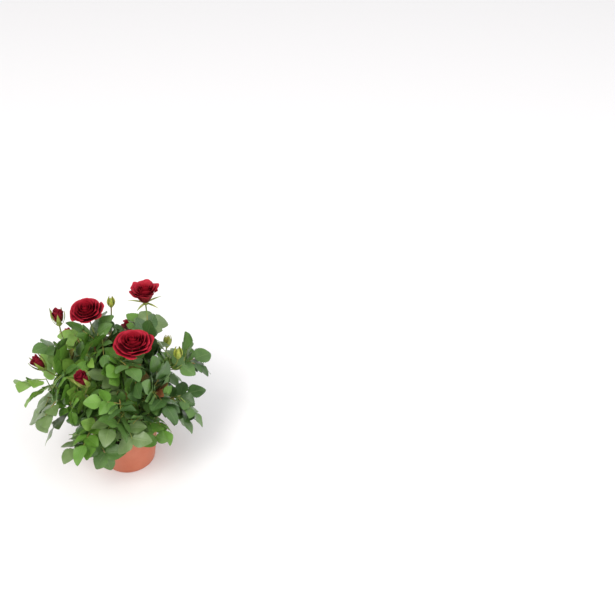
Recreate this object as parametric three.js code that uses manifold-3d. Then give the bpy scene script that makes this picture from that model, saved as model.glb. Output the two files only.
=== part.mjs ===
// Potted miniature rose bush, in millimetres, +Z up, with the origin under the middle of the pot.
// Four short canes stand in the peat of a 10.5 cm plastic pot. Each cane forks into three to five
// boughs, each bough carries one mass of leafy twigs, and stalks on the masses carry roses and buds.
// Every mass grows by the same seeded rule inside its own share of the crown.
import * as THREE from "three";
import { mergeVertices } from "three/addons/utils/BufferGeometryUtils.js";
import Module from "manifold-3d";

const wasm = await Module();
wasm.setup();

// The gap that two pieces keep where one carries the other.
const CLEAR = 0.3;

// The pot: radii of rim and foot, height, wall, the band under its rim, its floor and its facets.
const POT = { rim: 53, foot: 40, height: 76, wall: 1.4, band: 9, step: 1.1, floor: 2, sides: 40 };
// The peat: its level at the wall, how far it swells in the middle, and its facets.
const PEAT = { level: 67, swell: 1.6, sides: 24 };

// The canes: how far out their feet stand, how far they lean, their height and their radii.
const CANE = { ring: 11, lean: 5, height: 36, radii: [3.9, 3.1, 2.9, 2.6, 2.3], sides: 8, turn: -1.49 };
const CANE_COUNT = 4;
// Boughs leave a cane one above the other, and taper to where their mass begins.
const BOUGH = { thick: 1.8, thin: 1.4, sides: 5, steps: 4, share: 0.3 };
// The stem inside a mass, its side twigs and the stalks of its leaves.
const STEM = { thick: 1.4, thin: 1, steps: 5, sides: 3 };
const TWIG = { length: 34, thick: 1.05, thin: 0.9, sides: 3, angle: 0.95, rise: 0.2 };
// The stalks that carry the flowers.
const STALK = { thin: 1, thick: 1.3, steps: 6, sides: 4 };
// The straight neck under a bloom, and how far each kind of flower has swollen past its listed width.
const BLOOM = { neck: 5, swell: { rose: 1, bud: 1.2, green_bud: 1.4 } };

// A compound leaf: one leaflet at the end and two pairs, on a three-sided stalk that arches down.
const LEAF = { stalk: 42, foot: 0.5, thick: 0.9, angle: 1.25, sag: 0.17, roll: 0.7, tries: 11, fewest: 4 };
const LEAFLET = { length: 35, width: 27, thick: 0.9, root: 0.9, sag: 0.12, tilt: 0.32 };
// Where each pair stands along the stalk, how far it turns from it, and its size.
const PAIRS = [
  { at: 0.32, turn: 1.25, size: 0.78 },
  { at: 0.68, turn: 1.1, size: 0.9 },
];

// How far a mass reaches from its middle, and what its leaves keep clear of.
const SPACE = { reach: 78, wall: 0.5, limb: 1.0, spread: 12, lowest: 12 };
// A mass stops growing at this many compound leaves, or at its own number, and they stand this far apart.
const LEAVES_A_MASS = 6;
const LEAF_PITCH = 9;
const GOLDEN_ANGLE = 2.39996;
const SEED = 112;

const GREEN = new THREE.MeshStandardMaterial({ color: 0x3f6b2c, roughness: 0.45 });
const BARK = new THREE.MeshStandardMaterial({ color: 0x6f7a3a, roughness: 0.7 });
const WOOD = new THREE.MeshStandardMaterial({ color: 0x7a6a45, roughness: 0.8 });
const PLASTIC = new THREE.MeshStandardMaterial({ color: 0xc87c62, roughness: 0.55 });
const SOIL = new THREE.MeshStandardMaterial({ color: 0x2e211a, roughness: 0.95 });
const RED = new THREE.MeshStandardMaterial({ color: 0xa01424, roughness: 0.6 });
const BUD_GREEN = new THREE.MeshStandardMaterial({ color: 0x8fa53c, roughness: 0.55 });

// One row for each bough and the mass at its end: the cane it leaves, how far up the cane, the end of
// the mass's stem, and how high the path arches on the way. A bough from 1 stands on the cane's top.
const SHOOTS = [
  { name: "front_left_low", cane: 0, from: 0.3, tip: [-50, -50, 104], lift: 34 },
  { name: "front_right_low", cane: 0, from: 0.42, tip: [40, -44, 124], lift: 34, leaves: 4 },
  { name: "front_middle", cane: 0, from: 0.6, tip: [2, -70, 146], lift: 16 },
  { name: "right_front", cane: 0, from: 0.82, tip: [50, -40, 168], lift: 4 },
  { name: "front_top", cane: 0, from: 1, tip: [16, -10, 206], lift: 4 },
  { name: "left_low", cane: 1, from: 0.35, tip: [-106, 2, 154], lift: 26 },
  { name: "left_front", cane: 1, from: 0.7, tip: [-48, -32, 176], lift: 6 },
  { name: "left_high", cane: 1, from: 1, tip: [-84, 44, 190], lift: 6 },
  { name: "back_left_low", cane: 2, from: 0.35, tip: [-54, 68, 106], lift: 26 },
  { name: "back_left", cane: 2, from: 0.7, tip: [-44, 80, 164], lift: 8 },
  { name: "back_crest", cane: 2, from: 1, tip: [-20, 42, 220], lift: 4 },
  { name: "right_low", cane: 3, from: 0.3, tip: [90, -14, 118], lift: 24 },
  { name: "back_right_low", cane: 3, from: 0.5, tip: [56, 66, 108], lift: 24 },
  { name: "right_middle", cane: 3, from: 0.65, tip: [98, 24, 168], lift: 10 },
  { name: "back_right", cane: 3, from: 0.85, tip: [42, 80, 164], lift: 8 },
  { name: "right_crest", cane: 3, from: 1, tip: [54, 28, 212], lift: 4 },
];

// One row for each flower: its name and kind, the mass it grows on, how far along that mass's stem its
// stalk leaves, where the flower's base is, which way it faces, its width, and how far its cup stands up.
const FLOWERS = [
  ["rose_front", "rose", "front_top", 1, [32, -5, 220], [0, -0.1, 1], 60, 0.8],
  ["rose_back_left", "rose", "back_crest", 1, [-26, 76, 236], [-0.1, -0.2, 1], 52, 0.9],
  ["rose_right", "rose", "right_crest", 1, [62, 64, 248], [0.05, 0, 1], 47, 1.5],
  ["rose_behind", "rose", "back_right", 1, [40, 128, 146], [0.1, 1, 0.9], 50, 1],
  ["bud_left_crest", "bud", "left_high", 0.85, [-71, 78, 226], [0.05, 0, 1], 16],
  ["bud_left", "bud", "left_high", 0.72, [-101, 30, 184], [-0.5, 0, 1], 16],
  ["bud_front", "bud", "left_front", 1, [-42, -32, 190], [-0.35, -0.2, 1], 18],
  ["bud_behind", "bud", "back_left", 1, [-62, 126, 146], [-0.2, 0.8, 1], 16],
  ["green_bud_right", "green_bud", "right_middle", 0.8, [94, -10, 190], [0.1, 0, 1], 10],
  ["green_bud_crest", "green_bud", "back_crest", 0.75, [10, 84, 238], [0.1, 0, 1], 9],
  ["green_bud_behind", "green_bud", "back_right_low", 1, [88, 104, 122], [0.3, 0.5, 1], 10],
];

const UP = new THREE.Vector3(0, 0, 1);

// A repeatable stream of numbers from 0 to 1.
function numberStream(seed) {
  let state = seed >>> 0;
  return () => {
    state = (state + 0x6d2b79f5) >>> 0;
    let mixed = Math.imul(state ^ (state >>> 15), 1 | state);
    mixed = (mixed + Math.imul(mixed ^ (mixed >>> 7), 61 | mixed)) ^ mixed;
    return ((mixed ^ (mixed >>> 14)) >>> 0) / 4294967296;
  };
}

// A geometry with its shared corners merged, as a solid that can be joined and cut.
function solidOf(geometry) {
  const bare = geometry.clone();
  bare.deleteAttribute("normal");
  bare.deleteAttribute("uv");
  const merged = mergeVertices(bare, 1e-4);
  const mesh = new wasm.Mesh({
    numProp: 3,
    vertProperties: merged.attributes.position.array,
    triVerts: new Uint32Array(merged.index.array),
  });
  return new wasm.Manifold(mesh);
}

function geometryOf(solid) {
  const mesh = solid.getMesh();
  return new THREE.BufferGeometry()
    .setAttribute("position", new THREE.BufferAttribute(mesh.vertProperties, 3))
    .setIndex(new THREE.BufferAttribute(mesh.triVerts, 1));
}

function joined(solids) {
  return solids.reduce((whole, piece) => whole.add(piece));
}

function gridGeometry(corners, faces) {
  const numbers = corners.flatMap((corner) => corner.toArray());
  return new THREE.BufferGeometry()
    .setAttribute("position", new THREE.Float32BufferAttribute(numbers, 3))
    .setIndex(faces);
}

const cross = (a, b) => new THREE.Vector3().crossVectors(a, b);

// A direction made square to another one.
const squared = (v, axis) => v.clone().addScaledVector(axis, -v.dot(axis)).normalize();

// Two directions across a limb that runs along the given tangent.
function across(tangent) {
  const side = Math.abs(tangent.z) > 0.95 ? new THREE.Vector3(1, 0, 0) : UP;
  const first = cross(side, tangent).normalize();
  return [first, cross(tangent, first)];
}

// Numbers that go evenly from the first to the last, such as the radii of a limb.
function taper(first, last, steps) {
  return Array.from({ length: steps + 1 }, (_, i) => first + ((last - first) * i) / steps);
}

// A limb with flat ends along part of a curve, with one radius for each ring of corners.
function limb(curve, from, to, radii, sides) {
  const steps = radii.length - 1;
  const rings = radii.map((radius, step) => {
    const t = from + ((to - from) * step) / steps;
    return { radius, middle: curve.getPoint(t), tangent: curve.getTangent(t) };
  });
  let [first] = across(rings[0].tangent);
  for (const ring of rings) {
    first = squared(first, ring.tangent);
    ring.first = first;
    ring.second = cross(ring.tangent, first);
  }
  const geometry = new THREE.CylinderGeometry(1, 1, 1, sides, steps);
  const spots = geometry.attributes.position;
  for (let i = 0; i < spots.count; i++) {
    const { radius, middle, first, second } = rings[Math.round((spots.getY(i) + 0.5) * steps)];
    const corner = middle
      .clone()
      .addScaledVector(first, radius * spots.getZ(i))
      .addScaledVector(second, radius * spots.getX(i));
    spots.setXYZ(i, corner.x, corner.y, corner.z);
  }
  return solidOf(geometry);
}

// The corners of a leaflet beside its middle line, as shares of its length and width, and where its
// blade is thickest.
const OUTLINE = [
  [0.28, 0.48],
  [0.7, 0.38],
];
const BLADE_MIDDLE = 0.42;

// A leaflet's corners: two on each side of its tip, with one above and one below its thickest place.
function bladeCorners(base, along, normal, length, width, thick) {
  const side = cross(normal, along);
  const place = (u, v, w) =>
    base
      .clone()
      .addScaledVector(along, u * length)
      .addScaledVector(side, v * width)
      .addScaledVector(normal, w - LEAFLET.sag * length * u * u);
  return {
    base,
    left: OUTLINE.map(([u, v]) => place(u, v, 0)),
    right: OUTLINE.map(([u, v]) => place(u, -v, 0)),
    tip: place(1, 0, 0),
    above: place(BLADE_MIDDLE, 0, -thick * 0.1),
    below: place(BLADE_MIDDLE, 0, -thick * 1.1),
  };
}

// Grows a leaflet's faces out of an open place in a stalk, from the rim of that place.
function openBlade(add, faces, [top0, top1, low1, low0], blade) {
  const [l0, l1] = blade.left.map(add);
  const [r0, r1] = blade.right.map(add);
  const [tip, above, below] = [blade.tip, blade.above, blade.below].map(add);
  const upper = [top0, top1, r0, r1, tip, l1, l0];
  const lower = [low1, low0, l0, l1, tip, r1, r0];
  const fan = (rim, middle) =>
    rim.forEach((a, i) => {
      const b = rim[(i + 1) % rim.length];
      if (a !== b) faces.push(a, b, middle);
    });
  fan(upper, above);
  fan(lower, below);
  faces.push(top1, low1, r0, low0, top0, l0);
}

// A sepal as a pointed leaf with a flat back.
function sepalSolid(base, along, normal, length, width, thick) {
  const side = cross(normal, along);
  const place = (u, v, w) =>
    base
      .clone()
      .addScaledVector(along, u * length)
      .addScaledVector(side, v * width)
      .addScaledVector(normal, w);
  const rim = [place(0, 0, 0), place(0.4, 0.5, 0), place(1, 0, 0), place(0.4, -0.5, 0)];
  const faces = [1, 0, 4, 2, 1, 4, 3, 2, 4, 0, 3, 4, 0, 1, 2, 0, 2, 3];
  return solidOf(gridGeometry([...rim, place(0.4, 0, thick)], faces));
}

// A cane rises straight out of the peat, from its flat foot, and then leans outwards.
function canePath(index) {
  const angle = CANE.turn - (2 * Math.PI * index) / CANE_COUNT;
  const out = new THREE.Vector3(Math.cos(angle), Math.sin(angle), 0);
  const foot = out.clone().multiplyScalar(CANE.ring).setZ(PEAT.level + PEAT.swell + CLEAR);
  const top = out.clone().multiplyScalar(CANE.ring + CANE.lean).setZ(foot.z + CANE.height);
  return new THREE.QuadraticBezierCurve3(foot, foot.clone().setZ(foot.z + CANE.height / 2), top);
}

// Lays out the path of every bough and of the stem of the mass that it carries.
function planShoots(canes) {
  return SHOOTS.map((row, index) => {
    const cane = canes[row.cane];
    const tip = new THREE.Vector3(...row.tip);
    const last = row.from === 1;
    const start = cane.getPoint(row.from);
    if (last) start.addScaledVector(cane.getTangent(1), CLEAR);
    const control = last
      ? start.clone().addScaledVector(cane.getTangent(1), start.distanceTo(tip) * 0.25)
      : start.clone().lerp(tip, 0.4).addScaledVector(UP, row.lift);
    const path = new THREE.QuadraticBezierCurve3(start, control, tip);
    const speed = path.getPoint(BOUGH.share).distanceTo(path.getPoint(BOUGH.share + 0.01)) * 100;
    return {
      leaves: LEAVES_A_MASS,
      ...row,
      index,
      path,
      last,
      stemFrom: BOUGH.share + CLEAR / speed,
      stemLength: path.getLength() * (1 - BOUGH.share),
      middle: path.getPoint(0.82),
    };
  });
}

// True if a point lies in a mass's own share of the crown, short of the wall to each neighbour.
function insideSpace(point, shoot, shoots) {
  if (point.z < SPACE.lowest || point.distanceTo(shoot.middle) > SPACE.reach) return false;
  return shoots.every((other) => {
    if (other === shoot) return true;
    const nearer = point.distanceToSquared(other.middle) - point.distanceToSquared(shoot.middle);
    return nearer / (2 * other.middle.distanceTo(shoot.middle)) > SPACE.wall;
  });
}

// Balls along every limb and round every flower, which leaves keep clear of.
function obstacles(canes, shoots, flowers) {
  const balls = [];
  const line = (curve, from, to, radii) =>
    radii.forEach((radius, i) => {
      const centre = curve.getPoint(from + ((to - from) * i) / (radii.length - 1));
      balls.push({ centre, radius: radius + SPACE.limb });
    });
  canes.forEach((path) => line(path, 0, 1, taper(CANE.radii[0], CANE.radii[4], 12)));
  shoots.forEach((shoot) => line(shoot.path, 0, BOUGH.share, taper(BOUGH.thick, BOUGH.thin, 24)));
  flowers.forEach(({ stalk, kind, size, base, face }) => {
    line(stalk, 0, 1, taper(STALK.thin + 0.9, STALK.thick + 0.9, 20));
    const radius = size * (kind === "rose" ? 0.56 : 0.9);
    balls.push({ centre: base.clone().addScaledVector(face, radius * 0.7), radius });
  });
  return balls;
}

function clearOfPot(point) {
  const out = Math.hypot(point.x, point.y);
  const wall = POT.foot + ((POT.rim - POT.foot) * point.z) / POT.height;
  return out > POT.rim + 2.5 || point.z > POT.height + 2 || out > wall + 3;
}

function pointsAlong(a, b, count) {
  return Array.from({ length: count + 1 }, (_, i) => a.clone().lerp(b, i / count));
}

// True if the line from one point to another passes through a triangle.
function pierces([from, to], [a, b, c]) {
  const normal = cross(b.clone().sub(a), c.clone().sub(a));
  const before = from.clone().sub(a).dot(normal);
  const after = to.clone().sub(a).dot(normal);
  if (before * after >= 0) return false;
  const hit = from.clone().lerp(to, before / (before - after));
  const within = (p, q) => cross(q.clone().sub(p), hit.clone().sub(p)).dot(normal) > 0;
  return within(a, b) && within(b, c) && within(c, a);
}

// The lines and the faces by which leaflets and stalks are told to cross one another.
function wires({ base, left, right, tip, above }) {
  const start = base.clone().lerp(above, 0.25);
  const rim = [start, right[0], right[1], tip, left[1], left[0]];
  const lines = rim.map((corner, i) => [corner, rim[(i + 1) % 6]]);
  const faces = lines.map(([p, q]) => [p, q, above]);
  return { lines: [...lines, [start, above], [above, tip]], faces };
}

function crossing(one, other) {
  return (
    one.lines.some((line) => other.faces.some((face) => pierces(line, face))) ||
    other.lines.some((line) => one.faces.some((face) => pierces(line, face)))
  );
}

// Draws one leaflet, or nothing if it would leave its space, touch a limb or meet another leaf.
function tryBlade(base, along, normal, size, fits, placed) {
  const made = bladeCorners(base, along, normal, LEAFLET.length * size, LEAFLET.width * size, LEAFLET.thick);
  const { left, right, tip, above, below } = made;
  const rim = [left[0], left[1], tip, right[1], right[0]];
  const between = rim.slice(1).map((corner, i) => corner.clone().lerp(rim[i], 0.5));
  const inner = rim.map((corner) => corner.clone().lerp(above, 0.5));
  if (![...rim, ...between, ...inner, above, below].every(fits)) return null;
  made.wires = wires(made);
  made.centre = above;
  made.radius = LEAFLET.length * size * 0.62;
  made.isBlade = true;
  const near = placed.filter((other) => other.centre.distanceTo(above) < other.radius + made.radius);
  const apart = SPACE.spread * size;
  if (near.some((other) => other.isBlade && other.centre.distanceTo(above) < apart)) return null;
  return near.some((other) => crossing(made.wires, other.wires)) ? null : made;
}

// A stalk or twig as lines that leaflets may not cross.
function wireOf(points) {
  const lines = points.slice(1).map((point, i) => [points[i], point]);
  const centre = points[0].clone().lerp(points[points.length - 1], 0.5);
  return { wires: { lines, faces: [] }, centre, radius: centre.distanceTo(points[0]) + 1, isBlade: false };
}

// Leaves turn up and away from the middle of the plant, to the light.
function lightAt(root) {
  const out = new THREE.Vector3(root.x, root.y, 0).normalize();
  return out.multiplyScalar(0.75).addScaledVector(UP, 0.8);
}

// Tries one way for a compound leaf to leave its twig, and keeps the leaflets that fit.
function tryLeaf(root, along, roll, length, size, fits, placed) {
  const light = lightAt(root).normalize();
  const normal = squared(light, along).applyAxisAngle(along, roll);
  const frame = (s) => {
    const drop = LEAF.sag * length * s * s;
    const middle = root.clone().addScaledVector(along, length * s).addScaledVector(UP, -drop);
    const forward = along.clone().addScaledVector(UP, -2 * LEAF.sag * s).normalize();
    const up = squared(normal, forward);
    return { middle, forward, up, left: cross(up, forward) };
  };
  const [foot, waist, end] = [0.08, 0.5, 1].map((s) => frame(s).middle);
  if (![...pointsAlong(foot, waist, 6), ...pointsAlong(waist, end, 5)].every(fits)) return null;
  const stalk = wireOf([foot, waist, end]);
  if (placed.some((other) => other.isBlade && crossing(stalk.wires, other.wires))) return null;
  const blades = new Map();
  const add = (key, s, turned, share) => {
    const { middle, forward, up } = frame(s);
    const direction = forward.applyAxisAngle(up, turned);
    up.applyAxisAngle(direction, LEAFLET.tilt * -Math.sign(turned));
    const made = tryBlade(middle, direction, up, size * share, fits, [...placed, ...blades.values()]);
    if (made) blades.set(key, made);
  };
  add("end", 1, 0, 1);
  PAIRS.forEach(({ at, turn, size: share }, i) => {
    add("left" + i, at, turn, share);
    add("right" + i, at, -turn, share);
  });
  return { frame, length, stalk, blades, score: blades.size - 1.5 * Math.abs(along.dot(light)) };
}

// Grows one compound leaf, turned by the golden angle to where most of its leaflets fit.
function growLeaf(root, heading, turn, size, fits, grown, placed, next) {
  const length = LEAF.stalk * size * (0.85 + 0.3 * next());
  const roll = (next() - 0.5) * LEAF.roll;
  const lean = 0.05 + 0.25 * next();
  const [first, second] = across(heading);
  const light = lightAt(root);
  let best = null;
  for (let attempt = 0; attempt < LEAF.tries; attempt++) {
    const angle = turn + attempt * GOLDEN_ANGLE;
    const along = heading
      .clone()
      .multiplyScalar(Math.cos(LEAF.angle))
      .addScaledVector(first, Math.sin(LEAF.angle) * Math.cos(angle))
      .addScaledVector(second, Math.sin(LEAF.angle) * Math.sin(angle))
      .addScaledVector(light, lean)
      .normalize();
    const leaf = tryLeaf(root, along, roll, length, size, fits, placed);
    if (leaf && leaf.blades.size >= LEAF.fewest && (!best || leaf.score > best.score)) best = leaf;
  }
  if (!best) return;
  grown.push(best);
  placed.push(best.stalk, ...best.blades.values());
}

// Grows a side twig with two leaves, in the first direction that has room for it.
function growTwig(root, heading, turn, fits, grown, placed, twigs, next) {
  const [first, second] = across(heading);
  const length = TWIG.length * (0.8 + 0.5 * next());
  for (let attempt = 0; attempt < LEAF.tries; attempt++) {
    const angle = turn + Math.PI + attempt * GOLDEN_ANGLE;
    const way = heading
      .clone()
      .multiplyScalar(Math.cos(TWIG.angle))
      .addScaledVector(first, Math.sin(TWIG.angle) * Math.cos(angle))
      .addScaledVector(second, Math.sin(TWIG.angle) * Math.sin(angle))
      .addScaledVector(UP, TWIG.rise)
      .normalize();
    const path = new THREE.LineCurve3(root, root.clone().addScaledVector(way, length));
    if (!pointsAlong(path.getPoint(0.1), path.v2, 16).every(fits)) continue;
    const wire = wireOf([path.getPoint(0.06), path.v2]);
    if (placed.some((other) => other.isBlade && crossing(wire.wires, other.wires))) continue;
    const before = grown.length;
    placed.push(wire);
    for (const share of [0.97, 0.62, 0.3])
      growLeaf(path.getPoint(share), way, turn + share * 7, 0.75 + 0.3 * next(), fits, grown, placed, next);
    if (grown.length > before) {
      twigs.push(path);
      return;
    }
    placed.pop();
  }
}

// Grows a mass: leaves in turn round its stem from the tip down, and a side twig at every other one.
function growMass(shoot, shoots, flowers, balls) {
  const next = numberStream(SEED + shoot.index * 101);
  const fits = (p) =>
    insideSpace(p, shoot, shoots) && clearOfPot(p) && balls.every((b) => p.distanceTo(b.centre) > b.radius);
  const stem = taper(BOUGH.share, 1, 8).map((t) => shoot.path.getPoint(t));
  const placed = [wireOf(stem), ...flowers.map(({ stalk }) => wireOf(stalk.getPoints(STALK.steps)))];
  const grown = [];
  const twigs = [];
  const nodes = Math.round(shoot.stemLength / LEAF_PITCH);
  let turn = next() * Math.PI * 2;
  for (let node = nodes; node > 0 && grown.length < shoot.leaves; node--) {
    const t = shoot.stemFrom + ((1 - shoot.stemFrom) * (node - 0.35)) / nodes;
    const root = shoot.path.getPoint(t);
    const heading = shoot.path.getTangent(t);
    growLeaf(root, heading, turn, 0.8 + 0.3 * next(), fits, grown, placed, next);
    turn += GOLDEN_ANGLE;
    if (node % 2 === 0) growTwig(root, heading, turn, fits, grown, placed, twigs, next);
  }
  return { grown, twigs };
}

// A compound leaf as one closed surface, each leaflet growing out of a side of the stalk.
function leafSolid({ frame, length, blades }) {
  const corners = [];
  const faces = [];
  const add = (corner) => corners.push(corner) - 1;
  const half = LEAFLET.root / length;
  const last = blades.has("end") ? 1 : PAIRS[1].at + 3 * half;
  const pairs = PAIRS.map(({ at }, i) => ({ at, i }));
  const used = pairs.filter(({ i }) => blades.has("left" + i) || blades.has("right" + i));
  const places = [0, ...used.flatMap(({ at }) => [at - half, at + half]), last];
  const rings = places.map((s, i) => {
    const { middle, up, left } = frame(s);
    const radius = i === 0 ? LEAF.foot : LEAF.thick * (1 - 0.15 * s);
    const low = middle.clone().addScaledVector(up, -radius * 0.5);
    return {
      top: add(middle.clone().addScaledVector(up, radius)),
      left: add(low.clone().addScaledVector(left, radius * 0.87)),
      right: add(low.clone().addScaledVector(left, -radius * 0.87)),
    };
  });
  const side = (rim, blade) => {
    if (blade) openBlade(add, faces, rim, blade);
    else faces.push(rim[0], rim[1], rim[2], rim[0], rim[2], rim[3]);
  };
  rings.slice(1).forEach((b, i) => {
    const a = rings[i];
    const pair = i % 2 === 1 ? used[(i - 1) / 2].i : "none";
    side([a.top, b.top, b.left, a.left], blades.get("left" + pair));
    side([b.top, a.top, a.right, b.right], blades.get("right" + pair));
    side([a.left, b.left, b.right, a.right]);
  });
  const [foot, end] = [rings[0], rings[rings.length - 1]];
  faces.push(foot.top, foot.left, foot.right);
  if (blades.has("end")) openBlade(add, faces, [end.top, end.top, end.right, end.left], blades.get("end"));
  else faces.push(end.top, end.right, end.left);
  return solidOf(gridGeometry(corners, faces));
}

function massSolid(shoot, { grown, twigs }) {
  const stem = limb(shoot.path, shoot.stemFrom, 1, taper(STEM.thick, STEM.thin, STEM.steps), STEM.sides);
  const side = twigs.map((path) => limb(path, 0, 1, [TWIG.thick, TWIG.thin], TWIG.sides));
  return joined([stem, ...side, ...grown.map(leafSolid)]);
}

function latheSolid(profile, sides) {
  const geometry = new THREE.LatheGeometry(profile.map(([r, z]) => new THREE.Vector2(r, z)), sides);
  return solidOf(geometry.rotateX(Math.PI / 2));
}

// The radius of the pot's outer wall, under its band, at a height.
function potWall(z) {
  return POT.foot + ((POT.rim - POT.step - POT.foot) * z) / POT.height;
}

function potSolid() {
  const { rim, foot, height, wall, band, floor } = POT;
  const bandFoot = height - band;
  return latheSolid(
    [
      [0, 0],
      [foot - 1.2, 0],
      [foot, 1.2],
      [potWall(bandFoot), bandFoot],
      [rim - 0.5, bandFoot + 0.6],
      [rim, height - 0.8],
      [rim - 0.6, height],
      [rim - wall - 0.4, height],
      [potWall(bandFoot) - wall, bandFoot],
      [potWall(floor) - wall, floor],
      [0, floor],
    ],
    POT.sides,
  );
}

function peatSolid() {
  const edge = (z) => potWall(z) - POT.wall - CLEAR * 1.6;
  const { level, swell } = PEAT;
  return latheSolid(
    [
      [0, POT.floor + CLEAR],
      [edge(POT.floor) - 0.2, POT.floor + CLEAR],
      [edge(level), level],
      [edge(level) * 0.55, level + swell],
      [0, level + swell],
    ],
    PEAT.sides,
  );
}

// A turned form whose rings may dip between the lobes of petals.
function lobedSolid(rings, sides) {
  const profile = rings.map(({ r, z }) => new THREE.Vector2(r, z));
  const geometry = new THREE.LatheGeometry(profile, sides);
  geometry.rotateX(Math.PI / 2);
  const spots = geometry.attributes.position;
  for (let i = 0; i < spots.count; i++) {
    const { r, dip = 0, phase = 0 } = rings[i % rings.length];
    const column = Math.floor(i / rings.length) % sides;
    const shrink = (column + phase) % 3 === 0 ? dip : 0;
    const drop = shrink * r * 0.35;
    spots.setXYZ(i, spots.getX(i) * (1 - shrink), spots.getY(i) * (1 - shrink), spots.getZ(i) - drop);
  }
  return solidOf(geometry);
}

// A rose on its own axis: a round hip and three cups of petals in one another. The petals of a cupped
// rose rise like a funnel, and five sepals stand out under them.
function roseSolid(size, cup) {
  const r = size / 2;
  const h = r * cup;
  const cupped = cup > 1.2;
  const rim = (cupped ? 0.8 : 0.38) * h;
  const waist = cupped ? { r: 0.52 * r, z: 0.36 * h } : { r: 0.66 * r, z: 0.12 * h };
  const rings = [
    { r: 0, z: -0.22 * r },
    { r: 0.2 * r, z: 0.02 * r },
    waist,
    { r: r, z: rim, dip: 0.2 },
    { r: 0.5 * r, z: rim - 0.08 * h },
    { r: 0.74 * r, z: rim + 0.45 * (h - rim), dip: 0.22, phase: 1 },
    { r: 0.34 * r, z: rim + 0.2 * (h - rim) },
    { r: 0.44 * r, z: rim + 0.8 * (h - rim), dip: 0.25, phase: 2 },
    { r: 0, z: rim + 0.4 * (h - rim) },
  ];
  const pieces = [lobedSolid(rings, 15)];
  if (!cupped) return pieces[0];
  for (let i = 0; i < 5; i++) {
    const turn = (2 * Math.PI * (i + 0.5)) / 5;
    const out = new THREE.Vector3(Math.cos(turn), Math.sin(turn), 0.1).normalize();
    const root = out.clone().multiplyScalar(0.08 * r).setZ(-0.07 * r);
    pieces.push(sepalSolid(root, out, squared(UP, out), 0.62 * r, 0.22 * r, 0.07 * r));
  }
  return joined(pieces);
}

// A bud on its own axis: its petals still furled in a pointed egg, with five sepals against it.
function budSolid(size, open) {
  const r = size / 2;
  const rings = [
    { r: 0, z: -0.5 * r },
    { r: 0.42 * r, z: -0.3 * r },
    { r: 0.5 * r, z: 0 },
    { r: 0.95 * r, z: 0.9 * r },
    { r: (open ? 1 : 0.6) * r, z: 1.8 * r, dip: open ? 0.12 : 0 },
    { r: 0, z: (open ? 2.5 : 2.7) * r },
  ];
  const pieces = [lobedSolid(rings, 6)];
  for (let i = 0; i < 5; i++) {
    const turn = (2 * Math.PI * i) / 5;
    const flat = new THREE.Vector3(Math.cos(turn), Math.sin(turn), 0);
    const out = flat.clone().setZ(open ? 0.9 : 2.2).normalize();
    const root = flat.clone().multiplyScalar(0.25 * r);
    pieces.push(sepalSolid(root, out, squared(flat, out), (open ? 1.9 : 2.6) * r, 0.75 * r, 0.3 * r));
  }
  return joined(pieces);
}

// Lays out the stalk of every flower, from the end or the side of its mass's stem to its base.
function planFlowers(shoots) {
  return FLOWERS.map(([name, kind, on, at, baseAt, facing, size, cup]) => {
    const { path } = shoots.find((shoot) => shoot.name === on);
    const base = new THREE.Vector3(...baseAt);
    const face = new THREE.Vector3(...facing).normalize();
    const start = path.getPoint(at);
    const heading = path.getTangent(at);
    const aside = at < 1 ? squared(base.clone().sub(start), heading) : heading;
    start.addScaledVector(aside, at < 1 ? (STEM.thick + STEM.thin) / 2 + CLEAR : CLEAR);
    const reach = start.distanceTo(base) * 0.4;
    const first = start.clone().addScaledVector(aside, at < 1 ? reach * 0.3 : reach);
    const last = base.clone().addScaledVector(face, -reach);
    const stalk = new THREE.CubicBezierCurve3(start, first, last, base);
    return { name, kind, size, cup, base, face, stalk };
  });
}

// A flower with its stalk. The bloom stands on a short straight neck above the end of the curve.
function flowerSolid({ kind, size, cup, base, face, stalk }) {
  const full = size * BLOOM.swell[kind];
  const head = kind === "rose" ? roseSolid(full, cup) : budSolid(full, kind === "bud");
  const neck = new THREE.CylinderGeometry(STALK.thick, STALK.thick, BLOOM.neck + 1, STALK.sides + 1);
  neck.rotateX(Math.PI / 2);
  neck.translate(0, 0, -BLOOM.neck / 2);
  const turn = new THREE.Quaternion().setFromUnitVectors(UP, face);
  const foot = base.clone().addScaledVector(face, BLOOM.neck);
  const place = new THREE.Matrix4().compose(foot, turn, new THREE.Vector3(1, 1, 1));
  const stem = limb(stalk, 0, 1, taper(STALK.thin, STALK.thick, STALK.steps), STALK.sides);
  return stem.add(joined([head, solidOf(neck)]).transform(place.elements));
}

const canes = Array.from({ length: CANE_COUNT }, (_, i) => canePath(i));
const shoots = planShoots(canes);
const flowers = planFlowers(shoots);
const balls = obstacles(canes, shoots, flowers);

const group = new THREE.Group();
function addNode(name, solid, material) {
  const mesh = new THREE.Mesh(geometryOf(solid), material);
  mesh.name = name;
  group.add(mesh);
}

addNode("pot", potSolid(), PLASTIC);
addNode("peat", peatSolid(), SOIL);
canes.forEach((path, i) => addNode("cane_" + (i + 1), limb(path, 0, 1, CANE.radii, CANE.sides), WOOD));
for (const shoot of shoots) {
  const bough = limb(shoot.path, 0, BOUGH.share, taper(BOUGH.thick, BOUGH.thin, BOUGH.steps), BOUGH.sides);
  const thicker = CANE.radii.map((radius) => radius + CLEAR * 1.3);
  const cane = limb(canes[shoot.cane], 0, 1, thicker, CANE.sides);
  addNode("bough_" + shoot.name, shoot.last ? bough : bough.subtract(cane), BARK);
  addNode("leaves_" + shoot.name, massSolid(shoot, growMass(shoot, shoots, flowers, balls)), GREEN);
}
for (const flower of flowers) {
  addNode(flower.name, flowerSolid(flower), flower.kind === "green_bud" ? BUD_GREEN : RED);
}

export default group;
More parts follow.
